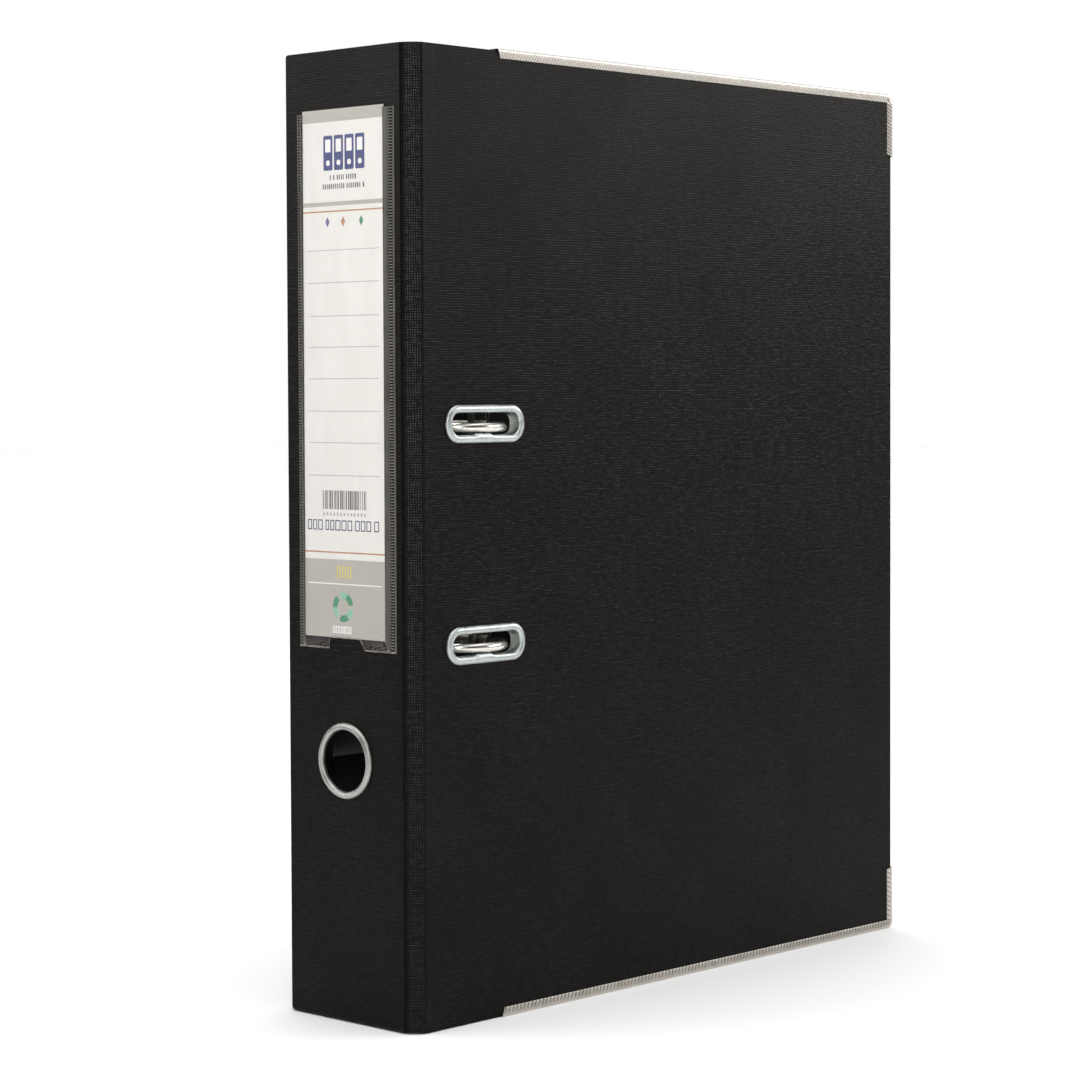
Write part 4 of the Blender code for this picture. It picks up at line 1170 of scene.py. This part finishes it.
def finger_ring():
    """Rolled metal eyelet in the spine, and the washer it is clenched over."""
    low, high, centre = box_of("finger_ring")
    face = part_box("spine_cloth")[0].y
    flange = (high.x - low.x) / 2
    top = face - low.y
    back = face - high.y
    profile = [(EYELET_MOUTH, height) for height in (back + 0.0002, -0.002, -0.0002, top - 0.0011)]
    profile += [
        (EYELET_MOUTH + 0.00012, top - 0.0006),
        (EYELET_MOUTH + 0.00045, top - 0.00022),
        (EYELET_MOUTH + 0.0009, top),
        (flange - 0.0010, top - 0.00012),
        (flange - 0.00045, top - 0.00035),
        (flange - 0.00010, top - 0.0008),
        (flange, 0.00022),
        (flange - 0.0001, 0.00004),
        (EYELET_MOUTH + 0.0006, 0.00004),
        (EYELET_MOUTH + 0.0006, back + 0.0002),
        (EYELET_MOUTH + 0.0003, back),
    ]
    facing_out = Matrix.Translation((centre.x, face, centre.z)) @ Matrix.Rotation(math.pi / 2, 4, "X")
    ring = lathe("finger_ring_rolled", profile, facing_out, EYELET, closed=True, steps=112)
    # Painted shade: the barrel behind the spine's face is near-black
    ring.data.materials.append(EYELET_BARREL_SHADE)
    repaint(ring, 1, lambda place: place.y > face)
    seat(ring, "spine", "nickel", "finger_ring")
    refined("finger_ring_washer", PLATED_STEEL, "nickel", 0.0001)


# ---- label pocket, card and print


def pocket_bottom(x, low_z):
    """Lower edge of the film, which has a notch to push the card up by."""
    if x <= NOTCH_BASE[0] or x >= NOTCH_BASE[1]:
        return low_z
    left = (x - NOTCH_BASE[0]) / (NOTCH_TOP[0] - NOTCH_BASE[0])
    right = (NOTCH_BASE[1] - x) / (NOTCH_BASE[1] - NOTCH_TOP[1])
    return low_z + min(left, right, 1.0) * (NOTCH_Z - low_z)


def label_pocket():
    """Clear film pocket, raised over the card and pressed flat in its ladder-like welds."""
    low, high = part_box("label_pocket")
    card_low, card_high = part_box("label_card")
    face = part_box("spine_cloth")[0].y
    weld_left, weld_right = low.x + LEFT_WELD, high.x - RIGHT_WELD
    weld_top = low.z + BOTTOM_WELD
    ladders = [
        [low.x + distance for distance in LEFT_LADDER],
        [high.x - distance for distance in reversed(RIGHT_LADDER)],
    ]

    def in_ladder(x):
        """Whether a place across the film is in one of its ladders."""
        return any(first < x < last for first, last in ladders)

    def height(x, z):
        """How far the film stands out of the spine."""
        rise = ease((x - weld_left) / (card_low.x - weld_left))
        rise *= ease((weld_right - x) / (weld_right - card_high.x))
        rise *= ease((z - weld_top) / (card_low.z - weld_top))
        level = FILM_LOW + (FILM_HIGH - FILM_LOW) * rise
        if in_ladder(x):
            level += LADDER_HEIGHT * ripple(z / LADDER_PITCH)
        hem = ease((weld_top - z) / HEM_SLOPE) * ease((z - low.z + 0.0003) / HEM_SLOPE)
        return level + (HEM_RISE * hem if rise < 0.05 else 0.0)

    columns = [low.x, high.x, *NOTCH_BASE, *NOTCH_TOP]
    for first, last in ladders:
        columns += [first, first + 0.0002, last - 0.0002, last]
    for start, end in ((weld_left, card_low.x), (card_high.x, weld_right)):
        columns += evenly(start, end, 4)
    columns += evenly(card_low.x, card_high.x, 5)[1:-1]
    columns.sort()
    count = round((high.z - low.z) / LADDER_PITCH * LADDER_ROWS)
    outer = []
    inner = []
    for step in range(count + 1):
        for x in columns:
            bottom = pocket_bottom(x, low.z)
            z = bottom + (high.z - bottom) * step / count
            level = height(x, z)
            outer.append((x, face - level - FILM, z))
            inner.append((x, face - level, z))
    width = len(columns)
    total = len(outer)
    sheet = ring_faces(count + 1, width, closed_loop=False)
    faces = sheet + [tuple(total + index for index in reversed(quad)) for quad in sheet]
    rim = []
    for start in range(0, count * width, width):
        rim += [(start + column, start + column + width) for column in (0, width - 1)]
    for start in (0, count * width):
        rim += [(start + column, start + column + 1) for column in range(width - 1)]
    faces += [(a, b, total + b, total + a) for a, b in rim]
    films = [FILM_CLEAR, FILM_MARGIN, FILM_HEM, FILM_RUNG, FILM_PRESSED]
    film = piece_from("label_pocket_film", outer + inner, faces, films, 70.0)
    for polygon in film.data.polygons:
        x, _, z = polygon.center
        if z - pocket_bottom(x, low.z) < HEM_HEIGHT:
            kind = FILM_HEM
        elif card_low.x < x < card_high.x:
            kind = FILM_CLEAR
        elif in_ladder(x):
            kind = FILM_PRESSED if (z / LADDER_PITCH) % 1.0 < LADDER_WINDOW else FILM_RUNG
        else:
            kind = FILM_MARGIN
        polygon.material_index = films.index(kind)
    return seat(film, "spine", "clear_film", "label_pocket")


def greeked_words(start, end, letters, seed):
    """Bars that stand for a line's letters, as (x, width), from (least, most, gap, word gap)."""
    least, most, gap, word_gap = letters
    rng = random.Random(seed)
    bars = []
    x = start
    while x < end - most:
        width = rng.uniform(least, most)
        bars.append((x, width))
        x += width + (word_gap if rng.random() < WORD_ENDS else gap)
    return bars


def loop_mark(x, z, outer, inner):
    """Ring of three separate arcs, each half dark and half pale."""
    shapes = []
    for start in (0, 120, 240):
        for colour, first, last in (("green", 10, 62), ("pale_green", 62, 110)):
            far = arc((x, z), outer, start + first, start + last, 6)
            near = arc((x, z), inner, start + last, start + first, 6)
            shapes.append((colour, far + near))
    return shapes


def print_shapes(card_low, card_high):
    """Shapes printed on the card, as (ink, outline), with x from the card's middle and z."""
    right = (card_high.x - card_low.x) / 2 - 0.00002
    left = -right
    shapes = []

    def bar(colour, x0, x1, z0, z1):
        """Plain bar."""
        shapes.append((colour, [(x0, z0), (x1, z0), (x1, z1), (x0, z1)]))

    def hollow_bars(colour, places, z0, z1, stroke):
        """Row of boxes drawn with a stroke, from their (x, width)."""
        for x, width in places:
            bar(colour, x, x + stroke, z0, z1)
            bar(colour, x + width - stroke, x + width, z0, z1)
            bar(colour, x + stroke, x + width - stroke, z0, z0 + stroke)
            bar(colour, x + stroke, x + width - stroke, z1 - stroke, z1)

    def round_bar(colour, x, z, half_width, half_height, radius):
        """Bar with round corners about a place."""
        outline = rounded_outline(half_width, half_height, radius, 5)
        shapes.append((colour, [(x + u, z + v) for u, v in outline]))

    bar("grey", left, right, 0.3273, card_high.z - 0.00002)
    bar("grey", left, right, 0.2969, 0.2984)
    bar("orange", left, right, 0.2947, 0.2952)
    bar("orange", left, right, 0.1712, 0.1717)
    bar("grey", left, right, card_low.z + 0.00002, 0.1689)
    for x in (-0.0076, -0.0020, 0.0036, 0.0092):
        round_bar("blue", x, 0.3160, 0.0024, 0.0063, 0.0006)
        round_bar("white", x, 0.3186, 0.0014, 0.0023, 0.0002)
        round_bar("white", x, 0.3124, 0.0010, 0.0010, 0.00095)
    for start, end, z, seed in SMALL_PRINT:
        for x, width in greeked_words(start, end, SMALL_LETTERS, seed):
            bar("charcoal", x, x + width, z, z + SMALL_PRINT_HEIGHT)
    for colour, x in (("violet", -0.0081), ("orange", 0.0002), ("green", 0.0097)):
        shapes.append((colour, [(x + u, 0.2911 + v) for u, v in DIAMOND]))
    for z in WRITING_LINES:
        bar("pale_grey", -0.0187, 0.0186, z - 0.00014, z + 0.00014)
    rng = random.Random(11)
    x = -0.0115
    while x < 0.0121:
        width = rng.choice((0.00025, 0.0004, 0.0006))
        bar("charcoal", x, x + width, 0.1871, 0.1939)
        x += width + rng.choice((0.00028, 0.0004, 0.0007))
    for step in range(13):
        x = -0.0113 + 0.0018 * step
        bar("pale_grey", x, x + 0.0009, 0.1847, 0.1859)
    hollow_bars("navy", greeked_words(-0.0196, 0.0187, TITLE_LETTERS, 3), 0.1794, 0.1832, 0.00042)
    hollow_bars("yellow", [(x, 0.0019) for x in (-0.0042, -0.0014, 0.0014)], 0.1624, 0.1665, 0.0005)
    bar("white", -0.0197, 0.0191, 0.1598, 0.1602)
    shapes += loop_mark(-0.0010, 0.1517, 0.0054, 0.0030)
    hollow_bars("white", greeked_words(-0.0066, 0.0050, RECYCLE_LETTERS, 5), 0.1421, 0.1447, 0.0004)
    return shapes


def label_card():
    """Card with its print, as thin layers of ink on its face."""
    card_low, card_high, middle = box_of("label_card")
    refined("label_card", CARD_STOCK, "label_card", 0.00008, 2)
    names = list(INKS)
    verts = []
    faces = []
    slots = []
    for colour, outline in print_shapes(card_low, card_high):
        first = len(verts)
        count = len(outline)
        for height in (-0.00001, INK * (2.0 if colour in OVERPRINTS else 1.0)):
            verts += [(middle.x + x, card_low.y - height, z) for x, z in outline]
        faces += [tuple(first + index for index in face) for face in solid_faces(2, count)]
        slots += [names.index(colour)] * (count + 2)
    prints = piece_from("label_print", verts, faces, list(INKS.values()), 20.0)
    for polygon, index in zip(prints.data.polygons, slots):
        polygon.material_index = index
    seat(prints, "label_card", "label_card")


# ---- mechanism


def mechanism():
    """Base plate, lever, compressor bar and slot backings with soft sheet-metal edges."""
    refined("base_plate", PLATED_STEEL, "nickel", 0.00025)
    refined("lever_arm", NICKEL, "nickel", 0.00028)
    refined("lever_grip", BLACK_PLASTIC, "black_plastic", 0.0003)
    refined("compressor_bar", PLATED_STEEL, "nickel", 0.00022)
    for level in LEVELS:
        refined("compressor_catch_" + level, PLATED_STEEL, "nickel", 0.00012)
    for level in LEVELS:
        refined("slot_backing_" + level, ZINC, "zinc", 0.00015)
    for node in ("lever_pivot_pin", "roller_pin", "roller"):
        refined(node, NICKEL, "nickel", 0.00015)


# ---- assembly

place_camera()
lay_floor()
hang_softboxes()
surroundings()
dress_panels()
linings()
hinge("front", 1)
hinge("back", -1)
for cover_name in ("front", "back"):
    for edge_name in ("top", "bottom"):
        edge_strip(cover_name, edge_name)
for slot_level in LEVELS:
    slot_liner(slot_level)
arch_wire()
posts()
rivets()
finger_ring()
label_pocket()
label_card()
mechanism()
